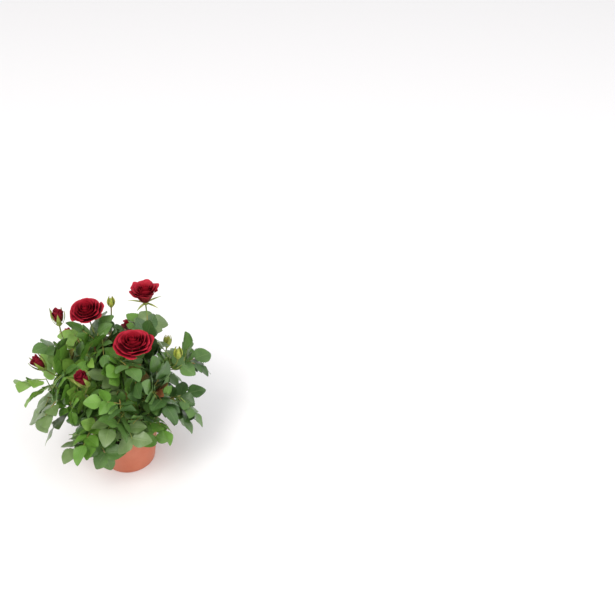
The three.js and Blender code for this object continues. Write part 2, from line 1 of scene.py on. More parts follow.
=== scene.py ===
"""A potted miniature rose bush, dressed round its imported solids.

The crown grows by the same seeded rule as the solids, from the same named sizes, and then goes on
to finer twigs and smaller leaves within the reach of each mass. Lengths in the plan are in
millimetres, and every mesh is made in metres.
"""

import logging
import math
from dataclasses import dataclass, field
from enum import Enum
from typing import Callable, Sequence

import bpy
import numpy as np
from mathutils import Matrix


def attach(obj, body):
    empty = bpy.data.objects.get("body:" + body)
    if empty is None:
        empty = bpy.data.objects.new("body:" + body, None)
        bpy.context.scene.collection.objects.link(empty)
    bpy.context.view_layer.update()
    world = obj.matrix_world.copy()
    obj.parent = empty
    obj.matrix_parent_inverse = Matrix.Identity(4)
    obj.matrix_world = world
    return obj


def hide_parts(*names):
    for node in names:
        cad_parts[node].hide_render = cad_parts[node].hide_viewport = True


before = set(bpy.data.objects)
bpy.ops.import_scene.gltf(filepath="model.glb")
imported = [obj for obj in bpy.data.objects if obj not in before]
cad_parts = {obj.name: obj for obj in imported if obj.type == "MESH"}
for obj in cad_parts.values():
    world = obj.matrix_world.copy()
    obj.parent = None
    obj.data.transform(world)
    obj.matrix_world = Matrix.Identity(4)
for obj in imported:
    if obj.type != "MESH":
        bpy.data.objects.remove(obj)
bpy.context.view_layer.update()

log = logging.getLogger("rose_bush")

MM = 0.001
UP = np.array([0.0, 0.0, 1.0])
GOLDEN_ANGLE = 2.39996
BODY = "root"

# The gap that two solids keep where one carries the other.
CLEAR = 0.3


# Small tools for directions and colours.


def unit(vector: np.ndarray) -> np.ndarray:
    """The direction of a vector."""
    return vector / math.sqrt(float(vector @ vector))


def squared(vector: np.ndarray, axis: np.ndarray) -> np.ndarray:
    """A direction made square to another one."""
    return unit(vector - axis * float(vector @ axis))


def cross(a: np.ndarray, b: np.ndarray) -> np.ndarray:
    """The cross product of two vectors.

    Args:
        a: the first vector.
        b: the second vector.

    Returns:
        The vector square to both.
    """
    return np.array([
        a[1] * b[2] - a[2] * b[1],
        a[2] * b[0] - a[0] * b[2],
        a[0] * b[1] - a[1] * b[0],
    ])


def across(tangent: np.ndarray) -> tuple[np.ndarray, np.ndarray]:
    """Two directions across a limb.

    Args:
        tangent: the direction in which the limb runs.

    Returns:
        Two unit vectors, square to the tangent and to one another.
    """
    side = np.array([1.0, 0.0, 0.0]) if abs(tangent[2]) > 0.95 else UP
    first = unit(cross(side, tangent))
    return first, cross(tangent, first)


def turned(vector: np.ndarray, axis: np.ndarray, angle: float) -> np.ndarray:
    """A vector turned about a unit axis by an angle in radians."""
    cos, sin = math.cos(angle), math.sin(angle)
    return vector * cos + cross(axis, vector) * sin + axis * float(axis @ vector) * (1 - cos)


def even(first: float, last: float, steps: int) -> np.ndarray:
    """Numbers that go evenly from the first to the last."""
    return first + (last - first) * np.arange(steps + 1) / steps


def linear(colour: str, alpha: float = 1.0) -> tuple[float, float, float, float]:
    """Turns an sRGB colour into linear light.

    Args:
        colour: the colour as #rrggbb.
        alpha: the fourth number to return.

    Returns:
        Red, green, blue and alpha.
    """
    parts = [int(colour[i:i + 2], 16) / 255 for i in (1, 3, 5)]
    red, green, blue = (c / 12.92 if c <= 0.04045 else ((c + 0.055) / 1.055) ** 2.4 for c in parts)
    return red, green, blue, alpha


class NumberStream:
    """A repeatable stream of numbers from 0 to 1."""

    def __init__(self, seed: int) -> None:
        """Starts the stream at a seed."""
        self.state = seed & 0xFFFFFFFF

    def __call__(self) -> float:
        """Draws the next number.

        Returns:
            A number from 0 to 1.
        """
        mask = 0xFFFFFFFF
        self.state = (self.state + 0x6D2B79F5) & mask
        mixed = ((self.state ^ (self.state >> 15)) * (1 | self.state)) & mask
        mixed = ((mixed + (((mixed ^ (mixed >> 7)) * (61 | mixed)) & mask)) & mask) ^ mixed
        return ((mixed ^ (mixed >> 14)) & mask) / 4294967296

    def between(self, low: float, high: float) -> float:
        """The next number, spread from low to high."""
        return low + (high - low) * self()


@dataclass(frozen=True)
class Bend:
    """A smooth curve drawn by three or four control points."""

    controls: tuple[np.ndarray, ...]

    def points(self, shares: Sequence[float]) -> np.ndarray:
        """Points on the curve.

        Args:
            shares: how far along its way each point is, from 0 to 1.

        Returns:
            One row for each point.
        """
        t = np.asarray(shares, dtype=float)[:, None]
        s = 1 - t
        if len(self.controls) == 3:
            a, b, c = self.controls
            return s * s * a + 2 * s * t * b + t * t * c
        a, b, c, d = self.controls
        return s ** 3 * a + 3 * s * s * t * b + 3 * s * t * t * c + t ** 3 * d

    def point(self, share: float) -> np.ndarray:
        """The point at one share of the curve's way."""
        return self.points([share])[0]

    def tangent(self, share: float) -> np.ndarray:
        """The direction in which the curve runs at a share of its way."""
        before, after = self.points([max(0.0, share - 1e-4), min(1.0, share + 1e-4)])
        return unit(after - before)

    def length(self) -> float:
        """The curve's length, from two hundred short chords."""
        return float(np.linalg.norm(np.diff(self.points(even(0, 1, 200)), axis=0), axis=1).sum())


# Meshes.


@dataclass
class MeshStock:
    """Gathers many small surfaces, to make one mesh of them."""

    corners: list[np.ndarray] = field(default_factory=list)
    faces: list[np.ndarray] = field(default_factory=list)
    marks: list[np.ndarray] = field(default_factory=list)
    count: int = 0

    def add(self, corners: np.ndarray, faces: np.ndarray, marks: np.ndarray | None = None) -> None:
        """Adds one surface.

        Args:
            corners: its corners in millimetres, one row each.
            faces: corner numbers, three or four in a row.
            marks: two numbers for each corner, kept as the mesh's UV map.
        """
        if marks is None:
            marks = np.zeros((len(corners), 2))
        self.corners.append(corners)
        self.faces.append(faces + self.count)
        self.marks.append(marks)
        self.count += len(corners)

    def make(
        self, name: str, finish: "Finish", stands_for: Sequence[str], slot: str,
    ) -> bpy.types.Object:
        """Makes the mesh, dresses it and ties it to the frame.

        Args:
            name: the piece's name.
            finish: its material.
            stands_for: the nodes that it stands for.
            slot: the record's material slot; not used.

        Returns:
            The new piece.
        """
        corners = np.concatenate(self.corners) * MM
        marks = np.concatenate(self.marks)
        mesh = bpy.data.meshes.new(name)
        mesh.from_pydata(corners.tolist(), [], [row for part in self.faces for row in part.tolist()])
        loops = np.zeros(len(mesh.loops), dtype=np.int32)
        mesh.loops.foreach_get("vertex_index", loops)
        layer = mesh.uv_layers.new(name="blade")
        layer.data.foreach_set("uv", marks[loops].astype(np.float32).ravel())
        mesh.polygons.foreach_set("use_smooth", np.ones(len(mesh.polygons), dtype=bool))
        mesh.materials.append(finish.material())
        mesh.update()
        piece = bpy.data.objects.new(name, mesh)
        bpy.context.scene.collection.objects.link(piece)
        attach(piece, BODY)
        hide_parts(*stands_for)
        triangles = sum(len(part) * (part.shape[1] - 2) for part in self.faces)
        log.info("%s: %d triangles", name, triangles)
        return piece


def grid_faces(rows: int, columns: int, closed: bool = False) -> np.ndarray:
    """The four-sided faces of a grid of corners.

    Args:
        rows: how many rows of corners there are.
        columns: how many corners a row has.
        closed: True if each row is a ring.

    Returns:
        One row of four corner numbers for each face.
    """
    width = columns if closed else columns - 1
    r, c = np.meshgrid(np.arange(rows - 1), np.arange(width), indexing="ij")
    a = (r * columns + c).ravel()
    b = (r * columns + (c + 1) % columns).ravel()
    return np.stack([a, b, b + columns, a + columns], axis=1)


def add_tube(
    stock: MeshStock, line: np.ndarray, radii: np.ndarray, sides: int, closed: bool = True,
) -> None:
    """Adds a round tube along a line of points.

    Args:
        stock: where the tube goes.
        line: the points along its middle.
        radii: its radius at each point, or at each corner of each ring.
        sides: how many corners a ring has.
        closed: True if its ends get a face.
    """
    steps = np.gradient(line, axis=0)
    steps /= np.linalg.norm(steps, axis=1)[:, None]
    first, _ = across(steps[0])
    turn = np.arange(sides) * 2 * math.pi / sides
    rings = []
    radii = radii.reshape(len(line), -1)
    for middle, step, radius in zip(line, steps, radii):
        first = squared(first, step)
        second = cross(step, first)
        spokes = np.outer(np.cos(turn), first) + np.outer(np.sin(turn), second)
        rings.append(middle + radius[:, None] * spokes)
    corners = np.concatenate(rings)
    along = np.repeat(np.arange(len(line)) / (len(line) - 1), sides)
    marks = np.stack([along, np.tile(turn / (2 * math.pi), len(line))], axis=1)
    stock.add(corners, grid_faces(len(line), sides, closed=True), marks)
    if closed:
        numbers = np.arange(sides)
        fan = np.stack([numbers, (numbers + 1) % sides, np.full(sides, sides)], axis=1)
        for rim, faces in ((rings[0], fan[:, ::-1]), (rings[-1], fan)):
            stock.add(np.vstack([rim, rim.mean(axis=0)]), faces)


def add_turned_form(
    stock: MeshStock, profile: np.ndarray, sides: int, shift: Callable | None = None,
) -> None:
    """Adds a form turned about the upright axis.

    Args:
        stock: where the form goes.
        profile: rows of radius and height, from the inside of the foot round to the end.
        sides: how many corners a ring has.
        shift: changes the corners, which it gets in rings, before they are added.
    """
    turn = np.arange(sides) * 2 * math.pi / sides
    rings = np.stack([
        np.outer(profile[:, 0], np.cos(turn)),
        np.outer(profile[:, 0], np.sin(turn)),
        np.repeat(profile[:, 1:2], sides, axis=1),
    ], axis=2)
    if shift:
        rings = shift(rings)
    run = np.concatenate([[0], np.cumsum(np.linalg.norm(np.diff(profile, axis=0), axis=1))])
    around = np.tile(turn / (2 * math.pi), len(profile))
    marks = np.stack([np.repeat(run / run[-1], sides), around], axis=1)
    stock.add(rings.reshape(-1, 3), grid_faces(len(profile), sides, closed=True), marks)


# Finishes.

# A Mix node has several inputs of one name, so its two colours and its result go by number.
FIRST_COLOUR, SECOND_COLOUR, MIXED_COLOUR = 6, 7, 2


def set_inputs(tree: bpy.types.NodeTree, node: bpy.types.Node, inputs: dict) -> None:
    """Sets or links the inputs of a shader node.

    Args:
        tree: the node tree of the material.
        node: the node.
        inputs: for each input a value, an output, or a node whose first output is meant.
    """
    for key, value in inputs.items():
        if isinstance(value, bpy.types.Node):
            value = value.outputs[0]
        if isinstance(value, bpy.types.NodeSocket):
            tree.links.new(value, node.inputs[key])
        else:
            node.inputs[key].default_value = value


def add_node(
    tree: bpy.types.NodeTree, kind: str, inputs: dict | None = None, **settings: object,
) -> bpy.types.Node:
    """Adds a shader node with its settings and links.

    Args:
        tree: the node tree of the material.
        kind: the node's type.
        inputs: what set_inputs sets or links.
        **settings: the node's own properties.

    Returns:
        The new node.
    """
    node = tree.nodes.new(kind)
    for key, value in settings.items():
        setattr(node, key, value)
    set_inputs(tree, node, inputs or {})
    return node


def pattern_scale(size: float) -> float:
    """The scale at which noise has patches of a size in millimetres."""
    return 1 / (size * MM)


@dataclass(frozen=True)
class Finish:
    """A material: its colours as sRGB hex values, and what its surface does to light."""

    name: str
    colour: str
    second: str
    roughness: float
    ior: float = 1.45

    def material(self) -> bpy.types.Material:
        """Makes the material, or finds it if it is there already.

        Returns:
            The material, with the nodes of its finish.
        """
        found = bpy.data.materials.get(self.name)
        if found:
            return found
        made = bpy.data.materials.new(self.name)
        made.use_nodes = True
        tree = made.node_tree
        shader = tree.nodes["Principled BSDF"]
        set_inputs(tree, shader, {"Roughness": self.roughness, "IOR": self.ior})
        self.dress(tree, shader, add_node(tree, "ShaderNodeTexCoord").outputs["Object"])
        return made

    def dress(self, tree: bpy.types.NodeTree, shader: bpy.types.Node, spot: bpy.types.NodeSocket) -> None:
        """Adds the nodes of this finish. Each kind of finish has its own.

        Args:
            tree: the node tree of the material.
            shader: its Principled BSDF.
            spot: the spot on the object, in its own space.
        """
        raise NotImplementedError

    def blended(
        self, tree: bpy.types.NodeTree, pattern: bpy.types.Node, low: float, high: float,
    ) -> bpy.types.NodeSocket:
        """Goes from the first colour to the second as a pattern rises from low to high.

        Args:
            tree: the node tree of the material.
            pattern: the node that draws the pattern.
            low: the last value that has the first colour alone.
            high: the first value that has the second colour alone.

        Returns:
            The blended colour.
        """
        share = add_node(tree, "ShaderNodeMapRange", {"Value": pattern, "From Min": low, "From Max": high})
        mixed = add_node(tree, "ShaderNodeMix", {
            "Factor": share, FIRST_COLOUR: linear(self.colour), SECOND_COLOUR: linear(self.second),
        }, data_type="RGBA")
        return mixed.outputs[MIXED_COLOUR]


@dataclass(frozen=True)
class LivingLeaf(Finish):
    """A rose leaf with its waxy skin: half gloss, quilted between veins, with a paler middle rib."""

    # Side ribs leave the middle rib about 4 mm apart and run forward to the teeth.
    ribs: float = 7.0
    slant: float = -0.62
    rib_colour: str = "#8ea863"
    rib_show: float = 0.26
    patch: float = 18.0
    quilt_depth: float = 0.5

    def dress(self, tree: bpy.types.NodeTree, shader: bpy.types.Node, spot: bpy.types.NodeSocket) -> None:
        """Draws ribs by the blade's own map, which runs along it and across it.

        Args:
            tree: the node tree of the material.
            shader: its Principled BSDF.
            spot: the spot on the object.
        """
        chart = add_node(tree, "ShaderNodeUVMap", uv_map="blade")
        split = add_node(tree, "ShaderNodeSeparateXYZ", {"Vector": chart})
        along, over = split.outputs["X"], split.outputs["Y"]
        middle = add_node(tree, "ShaderNodeMath", {0: over, 1: 0.5}, operation="SUBTRACT")
        aside = add_node(tree, "ShaderNodeMath", {0: middle}, operation="ABSOLUTE")
        slanted = add_node(tree, "ShaderNodeMath", {
            0: aside, 1: self.slant, 2: along,
        }, operation="MULTIPLY_ADD")
        turns = add_node(tree, "ShaderNodeMath", {
            0: slanted, 1: self.ribs * 2 * math.pi,
        }, operation="MULTIPLY")
        wave = add_node(tree, "ShaderNodeMath", {0: turns}, operation="COSINE")
        side_ribs = add_node(tree, "ShaderNodeMapRange", {"Value": wave, "From Min": 0.72, "From Max": 1.0})
        spine = add_node(tree, "ShaderNodeMapRange", {"Value": aside, "From Min": 0.03, "From Max": 0.0})
        drawn = add_node(tree, "ShaderNodeMath", {
            0: side_ribs, 1: 0.3, 2: spine,
        }, operation="MULTIPLY_ADD", use_clamp=True)
        patches = add_node(tree, "ShaderNodeTexNoise", {
            "Vector": spot, "Scale": pattern_scale(self.patch), "Detail": 3.0,
        })
        show = add_node(tree, "ShaderNodeMath", {0: drawn, 1: self.rib_show}, operation="MULTIPLY")
        paler = add_node(tree, "ShaderNodeMix", {
            "Factor": show,
            FIRST_COLOUR: self.blended(tree, patches, 0.32, 0.7),
            SECOND_COLOUR: linear(self.rib_colour),
        }, data_type="RGBA")
        quilt = add_node(tree, "ShaderNodeMath", {
            0: patches, 1: 0.5, 2: drawn,
        }, operation="MULTIPLY_ADD")
        bump = add_node(tree, "ShaderNodeBump", {
            "Height": quilt, "Strength": 0.45, "Distance": -self.quilt_depth * MM,
        })
        gloss = add_node(tree, "ShaderNodeMapRange", {
            "Value": patches, "To Min": self.roughness - 0.07, "To Max": self.roughness + 0.1,
        })
        # The wax lies on the skin as a thin coat, which whitens the light side of a leaf.
        set_inputs(tree, shader, {
            "Base Color": paler.outputs[MIXED_COLOUR], "Normal": bump, "Roughness": gloss,
            "Specular IOR Level": 0.5, "Coat Weight": 0.15, "Coat Roughness": 0.4,
        })


@dataclass(frozen=True)
class VelvetPetal(Finish):
    """A rose petal, whose skin of tiny cones drinks light and glows at a slant."""

    patch: float = 7.0
    vein_turn: float = 90.0
    sheen: str = "#e03a4c"

    def dress(self, tree: bpy.types.NodeTree, shader: bpy.types.Node, spot: bpy.types.NodeSocket) -> None:
        """Darkens the petal towards its foot, as painted shade down in the bloom, and leaves its lip bright.

        Args:
            tree: the node tree of the material.
            shader: its Principled BSDF.
            spot: the spot on the object.
        """
        chart = add_node(tree, "ShaderNodeUVMap", uv_map="blade")
        split = add_node(tree, "ShaderNodeSeparateXYZ", {"Vector": chart})
        patches = add_node(tree, "ShaderNodeTexNoise", {
            "Vector": spot, "Scale": pattern_scale(self.patch), "Detail": 4.0,
        })
        # Painted shade: the colour darkens from the lip towards the foot, deep in the bloom.
        rise = add_node(tree, "ShaderNodeMath", {
            0: patches, 1: 0.3, 2: split.outputs["X"],
        }, operation="MULTIPLY_ADD")
        # Fine veins fan out from the foot, drawn as coarse as 1.5 mm so that they show.
        turns = add_node(tree, "ShaderNodeMath", {
            0: split.outputs["Y"], 1: self.vein_turn,
        }, operation="MULTIPLY")
        veins = add_node(tree, "ShaderNodeMath", {0: turns}, operation="SINE")
        height = add_node(tree, "ShaderNodeMath", {
            0: veins, 1: 0.2, 2: patches,
        }, operation="MULTIPLY_ADD")
        bump = add_node(tree, "ShaderNodeBump", {"Height": height, "Strength": 0.3, "Distance": 0.4 * MM})
        set_inputs(tree, shader, {
            "Base Color": self.blended(tree, rise, 0.55, 1.16), "Normal": bump,
            "Sheen Weight": 0.25, "Sheen Roughness": 0.4, "Sheen Tint": linear(self.sheen),
            "Specular IOR Level": 0.25,
        })


@dataclass(frozen=True)
class GreenSkin(Finish):
    """The smooth skin of young shoots, leaf stalks, sepals and hips, flushed where the sun reached."""

    patch: float = 22.0
    grain: float = 1.4

    def dress(self, tree: bpy.types.NodeTree, shader: bpy.types.Node, spot: bpy.types.NodeSocket) -> None:
        """Flushes the skin in long patches over a fine grain.

        Args:
            tree: the node tree of the material.
            shader: its Principled BSDF.
            spot: the spot on the object.
        """
        patches = add_node(tree, "ShaderNodeTexNoise", {
            "Vector": spot, "Scale": pattern_scale(self.patch), "Detail": 3.0,
        })
        grain = add_node(tree, "ShaderNodeTexNoise", {
            "Vector": spot, "Scale": pattern_scale(self.grain), "Detail": 2.0,
        })
        bump = add_node(tree, "ShaderNodeBump", {"Height": grain, "Strength": 0.35, "Distance": 0.2 * MM})
        set_inputs(tree, shader, {"Base Color": self.blended(tree, patches, 0.42, 0.68), "Normal": bump})


@dataclass(frozen=True)
class CorkyBark(Finish):
    """The bark at the foot of a cane: dull, with long cracks and corky specks."""

    crack: float = 2.0
    stretch: float = 0.2

    def dress(self, tree: bpy.types.NodeTree, shader: bpy.types.Node, spot: bpy.types.NodeSocket) -> None:
        """Draws cracks about 2 mm apart, five times as long as they are wide.

        Args:
            tree: the node tree of the material.
            shader: its Principled BSDF.
            spot: the spot on the object.
        """
        drawn = add_node(tree, "ShaderNodeMapping", {"Vector": spot, "Scale": (1.0, 1.0, self.stretch)})
        cracks = add_node(tree, "ShaderNodeTexNoise", {
            "Vector": drawn, "Scale": pattern_scale(self.crack), "Detail": 6.0,
        })
        bump = add_node(tree, "ShaderNodeBump", {"Height": cracks, "Strength": 0.8, "Distance": 0.6 * MM})
        set_inputs(tree, shader, {"Base Color": self.blended(tree, cracks, 0.35, 0.62), "Normal": bump})


@dataclass(frozen=True)
class MouldedPolypropylene(Finish):
    """Polypropylene moulded thin: satin, evenly coloured, faintly clouded, with scuffs and dust."""

    cloud: float = 30.0
    scuff: float = 3.0
    # Moulded texture, real about 0.3 mm wide, drawn at 0.8 mm so that it shows.
    texture: float = 0.8
    dust: str = "#d39a84"

    def dress(self, tree: bpy.types.NodeTree, shader: bpy.types.Node, spot: bpy.types.NodeSocket) -> None:
        """Clouds the colour over 30 mm, and dulls the gloss with scuffs 3 mm wide.

        Args:
            tree: the node tree of the material.
            shader: its Principled BSDF.
            spot: the spot on the object.
        """
        clouds = add_node(tree, "ShaderNodeTexNoise", {
            "Vector": spot, "Scale": pattern_scale(self.cloud), "Detail": 3.0,
        })
        scuffs = add_node(tree, "ShaderNodeTexNoise", {
            "Vector": spot, "Scale": pattern_scale(self.scuff), "Detail": 8.0,
        })
        worn = add_node(tree, "ShaderNodeMapRange", {"Value": scuffs, "From Min": 0.62, "From Max": 0.78})
        show = add_node(tree, "ShaderNodeMath", {0: worn, 1: 0.3}, operation="MULTIPLY")
        dusty = add_node(tree, "ShaderNodeMix", {
            "Factor": show,
            FIRST_COLOUR: self.blended(tree, clouds, 0.35, 0.68),
            SECOND_COLOUR: linear(self.dust),
        }, data_type="RGBA")
        gloss = add_node(tree, "ShaderNodeMapRange", {
            "Value": scuffs, "To Min": self.roughness - 0.08, "To Max": self.roughness + 0.14,
        })
        grain = add_node(tree, "ShaderNodeTexNoise", {
            "Vector": spot, "Scale": pattern_scale(self.texture), "Detail": 2.0,
        })
        bump = add_node(tree, "ShaderNodeBump", {"Height": grain, "Strength": 0.25, "Distance": 0.12 * MM})
        set_inputs(tree, shader, {
            "Base Color": dusty.outputs[MIXED_COLOUR], "Normal": bump, "Roughness": gloss,
            "Subsurface Weight": 0.06, "Subsurface Scale": 0.004,
        })


@dataclass(frozen=True)
class MoistPeat(Finish):
    """Moist peat compost, crumbled: nearly black, fibrous, dull except where it is wet."""

    crumb: float = 3.0

    def dress(self, tree: bpy.types.NodeTree, shader: bpy.types.Node, spot: bpy.types.NodeSocket) -> None:
        """Mixes brown fibres into black crumbs of 3 mm.

        Args:
            tree: the node tree of the material.
            shader: its Principled BSDF.
            spot: the spot on the object.
        """
        crumbs = add_node(tree, "ShaderNodeTexNoise", {
            "Vector": spot, "Scale": pattern_scale(self.crumb), "Detail": 8.0,
        })
        bump = add_node(tree, "ShaderNodeBump", {"Height": crumbs, "Strength": 1.0, "Distance": 1.2 * MM})
        set_inputs(tree, shader, {"Base Color": self.blended(tree, crumbs, 0.45, 0.75), "Normal": bump})


@dataclass(frozen=True)
class MattePaper(Finish):
    """Seamless background paper, matt and nearly white, lit from behind like a light table."""

    tooth: float = 2.0
    light: str = "#fffafa"
    glow: float = 0.07

    def dress(self, tree: bpy.types.NodeTree, shader: bpy.types.Node, spot: bpy.types.NodeSocket) -> None:
        """Gives the paper a tooth too fine to see, and its glow.

        Args:
            tree: the node tree of the material.
            shader: its Principled BSDF.
            spot: the spot on the object.
        """
        tooth = add_node(tree, "ShaderNodeTexNoise", {
            "Vector": spot, "Scale": pattern_scale(self.tooth), "Detail": 3.0,
        })
        paper = add_node(tree, "ShaderNodeMix", {
            "Factor": tooth, FIRST_COLOUR: linear(self.colour), SECOND_COLOUR: linear(self.second),
        }, data_type="RGBA")
        set_inputs(tree, shader, {
            "Base Color": paper.outputs[MIXED_COLOUR],
            "Emission Color": linear(self.light), "Emission Strength": self.glow,
        })


class LeafTone(Enum):
    """The colours that leaves are dealt, a whole compound leaf at a time."""

    # Grown leaves, from deep and glossy on the plant's right to pale and duller on its left:
    # painted shade on the right and painted light on the left, with a random spread.
    DEEP = LivingLeaf("leaf_deep_green_waxy", "#39572a", "#496b34", 0.35)
    MIDDLE = LivingLeaf("leaf_middle_green_waxy", "#4a6d30", "#5a7f3a", 0.37)
    FRESH = LivingLeaf("leaf_fresh_green_waxy", "#58842c", "#699438", 0.4)
    PALE = LivingLeaf("leaf_pale_green_waxy", "#6b9434", "#82a848", 0.42)
    # Leaves that turn their bloomy side out look greyer and shine more.
    DUSKY = LivingLeaf("leaf_grey_green_waxy", "#5f7843", "#738a56", 0.34)
    # The youngest leaves still have the red of their buds.
    BRONZE = LivingLeaf("leaf_young_bronze_waxy", "#74512c", "#838043", 0.4)
    RED = LivingLeaf("leaf_young_red_waxy", "#7a3426", "#94603a", 0.4)


# Living green skin, grown smooth: a soft sheen, and a tan or red flush on the sunny side.
STALK_SKIN = GreenSkin("leaf_stalk_yellow_green", "#8ba04a", "#9c7a48", 0.5)
SHOOT_SKIN = GreenSkin("young_shoot_green_skin", "#6f8a3c", "#8a6a3e", 0.5)
SEPAL_SKIN = GreenSkin("sepal_green_skin", "#84993f", "#aeb568", 0.5, patch=7.0)
YOUNG_SEPAL_SKIN = GreenSkin("young_sepal_yellow_green_skin", "#8f9f3c", "#b9b44e", 0.5, patch=6.0)
PRICKLE_SKIN = GreenSkin("prickle_red_brown", "#8a4a34", "#a8674a", 0.45)
# Corky bark, cracked by growth: dull grey brown with darker cracks.
CANE_BARK = CorkyBark("cane_corky_bark", "#5c4a30", "#857050", 0.85)
# Petals, velvety by their own cells: crimson at the lips and darkened nearly to black towards
# the foot as painted shade; the inner petals are a little darker still, painted shade of the heart.
PETAL_OUTER = VelvetPetal("petal_outer_crimson_velvet", "#4f0510", "#bb1f36", 0.6)
PETAL_INNER = VelvetPetal("petal_inner_crimson_velvet", "#44040d", "#ad172c", 0.6)
PETAL_BUD = VelvetPetal("petal_bud_dark_crimson_velvet", "#4a0812", "#9c2236", 0.6)
# Polypropylene, injection moulded: a satin skin that blurs the light, worn duller by handling.
POT_PLASTIC = MouldedPolypropylene(
    "polypropylene_terracotta_moulded", "#bd6444", "#c57052", 0.42, ior=1.49,
)
# Peat, milled and watered: dark and rough, so that it reads as shade between the canes.
PEAT_CRUMB = MoistPeat("peat_moist_crumbled", "#1c1410", "#46321f", 0.9)
# Matt paper from the roll: no shine, so that only the pot's shadow shows on it.
BACKDROP = MattePaper("backdrop_matte_paper", "#eae9ea", "#edecee", 0.9)


# The plan of the plant, as its solids have it.


@dataclass(frozen=True)
class ShootRow:
    """One bough and its mass: its cane, how far up it leaves, its tip, its arch and its leaves."""

    name: str
    cane: int
    up: float
    tip: tuple[float, float, float]
    lift: float
    leaves: int = 6


class FlowerKind(Enum):
    """How far a flower has opened."""

    ROSE = "rose"
    BUD = "bud"
    CLOSED = "closed"


@dataclass(frozen=True)
class FlowerRow:
    """One flower: the mass that carries it, where its stalk leaves, its base, facing, width and cup."""

    name: str
    kind: FlowerKind
    on: str
    at: float
    base: tuple[float, float, float]
    face: tuple[float, float, float]
    size: float
    cup: float = 1.0


SHOOT_ROWS = (
    ShootRow("front_left_low", 0, 0.3, (-50, -50, 104), 34),
    ShootRow("front_right_low", 0, 0.42, (40, -44, 124), 34, leaves=4),
    ShootRow("front_middle", 0, 0.6, (2, -70, 146), 16),
    ShootRow("right_front", 0, 0.82, (50, -40, 168), 4),
    ShootRow("front_top", 0, 1, (16, -10, 206), 4),
    ShootRow("left_low", 1, 0.35, (-106, 2, 154), 26),
    ShootRow("left_front", 1, 0.7, (-48, -32, 176), 6),
    ShootRow("left_high", 1, 1, (-84, 44, 190), 6),
    ShootRow("back_left_low", 2, 0.35, (-54, 68, 106), 26),
    ShootRow("back_left", 2, 0.7, (-44, 80, 164), 8),
    ShootRow("back_crest", 2, 1, (-20, 42, 220), 4),
    ShootRow("right_low", 3, 0.3, (90, -14, 118), 24),
    ShootRow("back_right_low", 3, 0.5, (56, 66, 108), 24),
    ShootRow("right_middle", 3, 0.65, (98, 24, 168), 10),
    ShootRow("back_right", 3, 0.85, (42, 80, 164), 8),
    ShootRow("right_crest", 3, 1, (54, 28, 212), 4),
)

FLOWER_ROWS = (
    FlowerRow("rose_front", FlowerKind.ROSE, "front_top", 1, (32, -5, 220), (0, -0.1, 1), 60, 0.8),
    FlowerRow("rose_back_left", FlowerKind.ROSE, "back_crest", 1, (-26, 76, 236), (-0.1, -0.2, 1), 52, 0.9),
    FlowerRow("rose_right", FlowerKind.ROSE, "right_crest", 1, (62, 64, 248), (0.05, 0, 1), 47, 1.5),
    FlowerRow("rose_behind", FlowerKind.ROSE, "back_right", 1, (40, 128, 146), (0.1, 1, 0.9), 50, 1),
    FlowerRow("bud_left_crest", FlowerKind.BUD, "left_high", 0.85, (-71, 78, 226), (0.05, 0, 1), 16),
    FlowerRow("bud_left", FlowerKind.BUD, "left_high", 0.72, (-101, 30, 184), (-0.5, 0, 1), 16),
    FlowerRow("bud_front", FlowerKind.BUD, "left_front", 1, (-42, -32, 190), (-0.35, -0.2, 1), 18),
    FlowerRow("bud_behind", FlowerKind.BUD, "back_left", 1, (-62, 126, 146), (-0.2, 0.8, 1), 16),
    FlowerRow("green_bud_right", FlowerKind.CLOSED, "right_middle", 0.8, (94, -10, 190), (0.1, 0, 1), 10),
    FlowerRow("green_bud_crest", FlowerKind.CLOSED, "back_crest", 0.75, (10, 84, 238), (0.1, 0, 1), 9),
    FlowerRow("green_bud_behind", FlowerKind.CLOSED, "back_right_low", 1, (88, 104, 122), (0.3, 0.5, 1), 10),
)


@dataclass(frozen=True)
class PotSizes:
    """The pot: radii of rim and foot, height, wall, the rim's band and its step, and the floor."""

    rim: float = 53
    foot: float = 40
    height: float = 76
    wall: float = 1.4
    band: float = 9
    step: float = 1.1
    floor: float = 2

    def outer(self, z: float) -> float:
        """The radius of the outer wall, under its band, at a height."""
        return self.foot + (self.rim - self.step - self.foot) * z / self.height


@dataclass(frozen=True)
class PeatSizes:
    """The peat: its level at the wall and how far it swells in the middle."""

    level: float = 67
    swell: float = 1.6


@dataclass(frozen=True)
class CaneSizes:
    """The canes: how far out they stand and lean, height, radii, the first one's angle, and how many."""

    ring: float = 11
    lean: float = 5
    height: float = 36
    radii: tuple[float, ...] = (3.9, 3.1, 2.9, 2.6, 2.3)
    turn: float = -1.49
    count: int = 4

    def path(self, index: int, foot_height: float) -> Bend:
        """A cane's middle line, which rises straight out of the peat and then leans outwards.

        Args:
            index: which cane it is, counted from 0.
            foot_height: how high it starts.

        Returns:
            The line.
        """
        angle = self.turn - 2 * math.pi * index / self.count
        out = np.array([math.cos(angle), math.sin(angle), 0.0])
        foot = out * self.ring + UP * foot_height
        top = out * (self.ring + self.lean) + UP * (foot_height + self.height)
        return Bend((foot, foot + UP * self.height / 2, top))


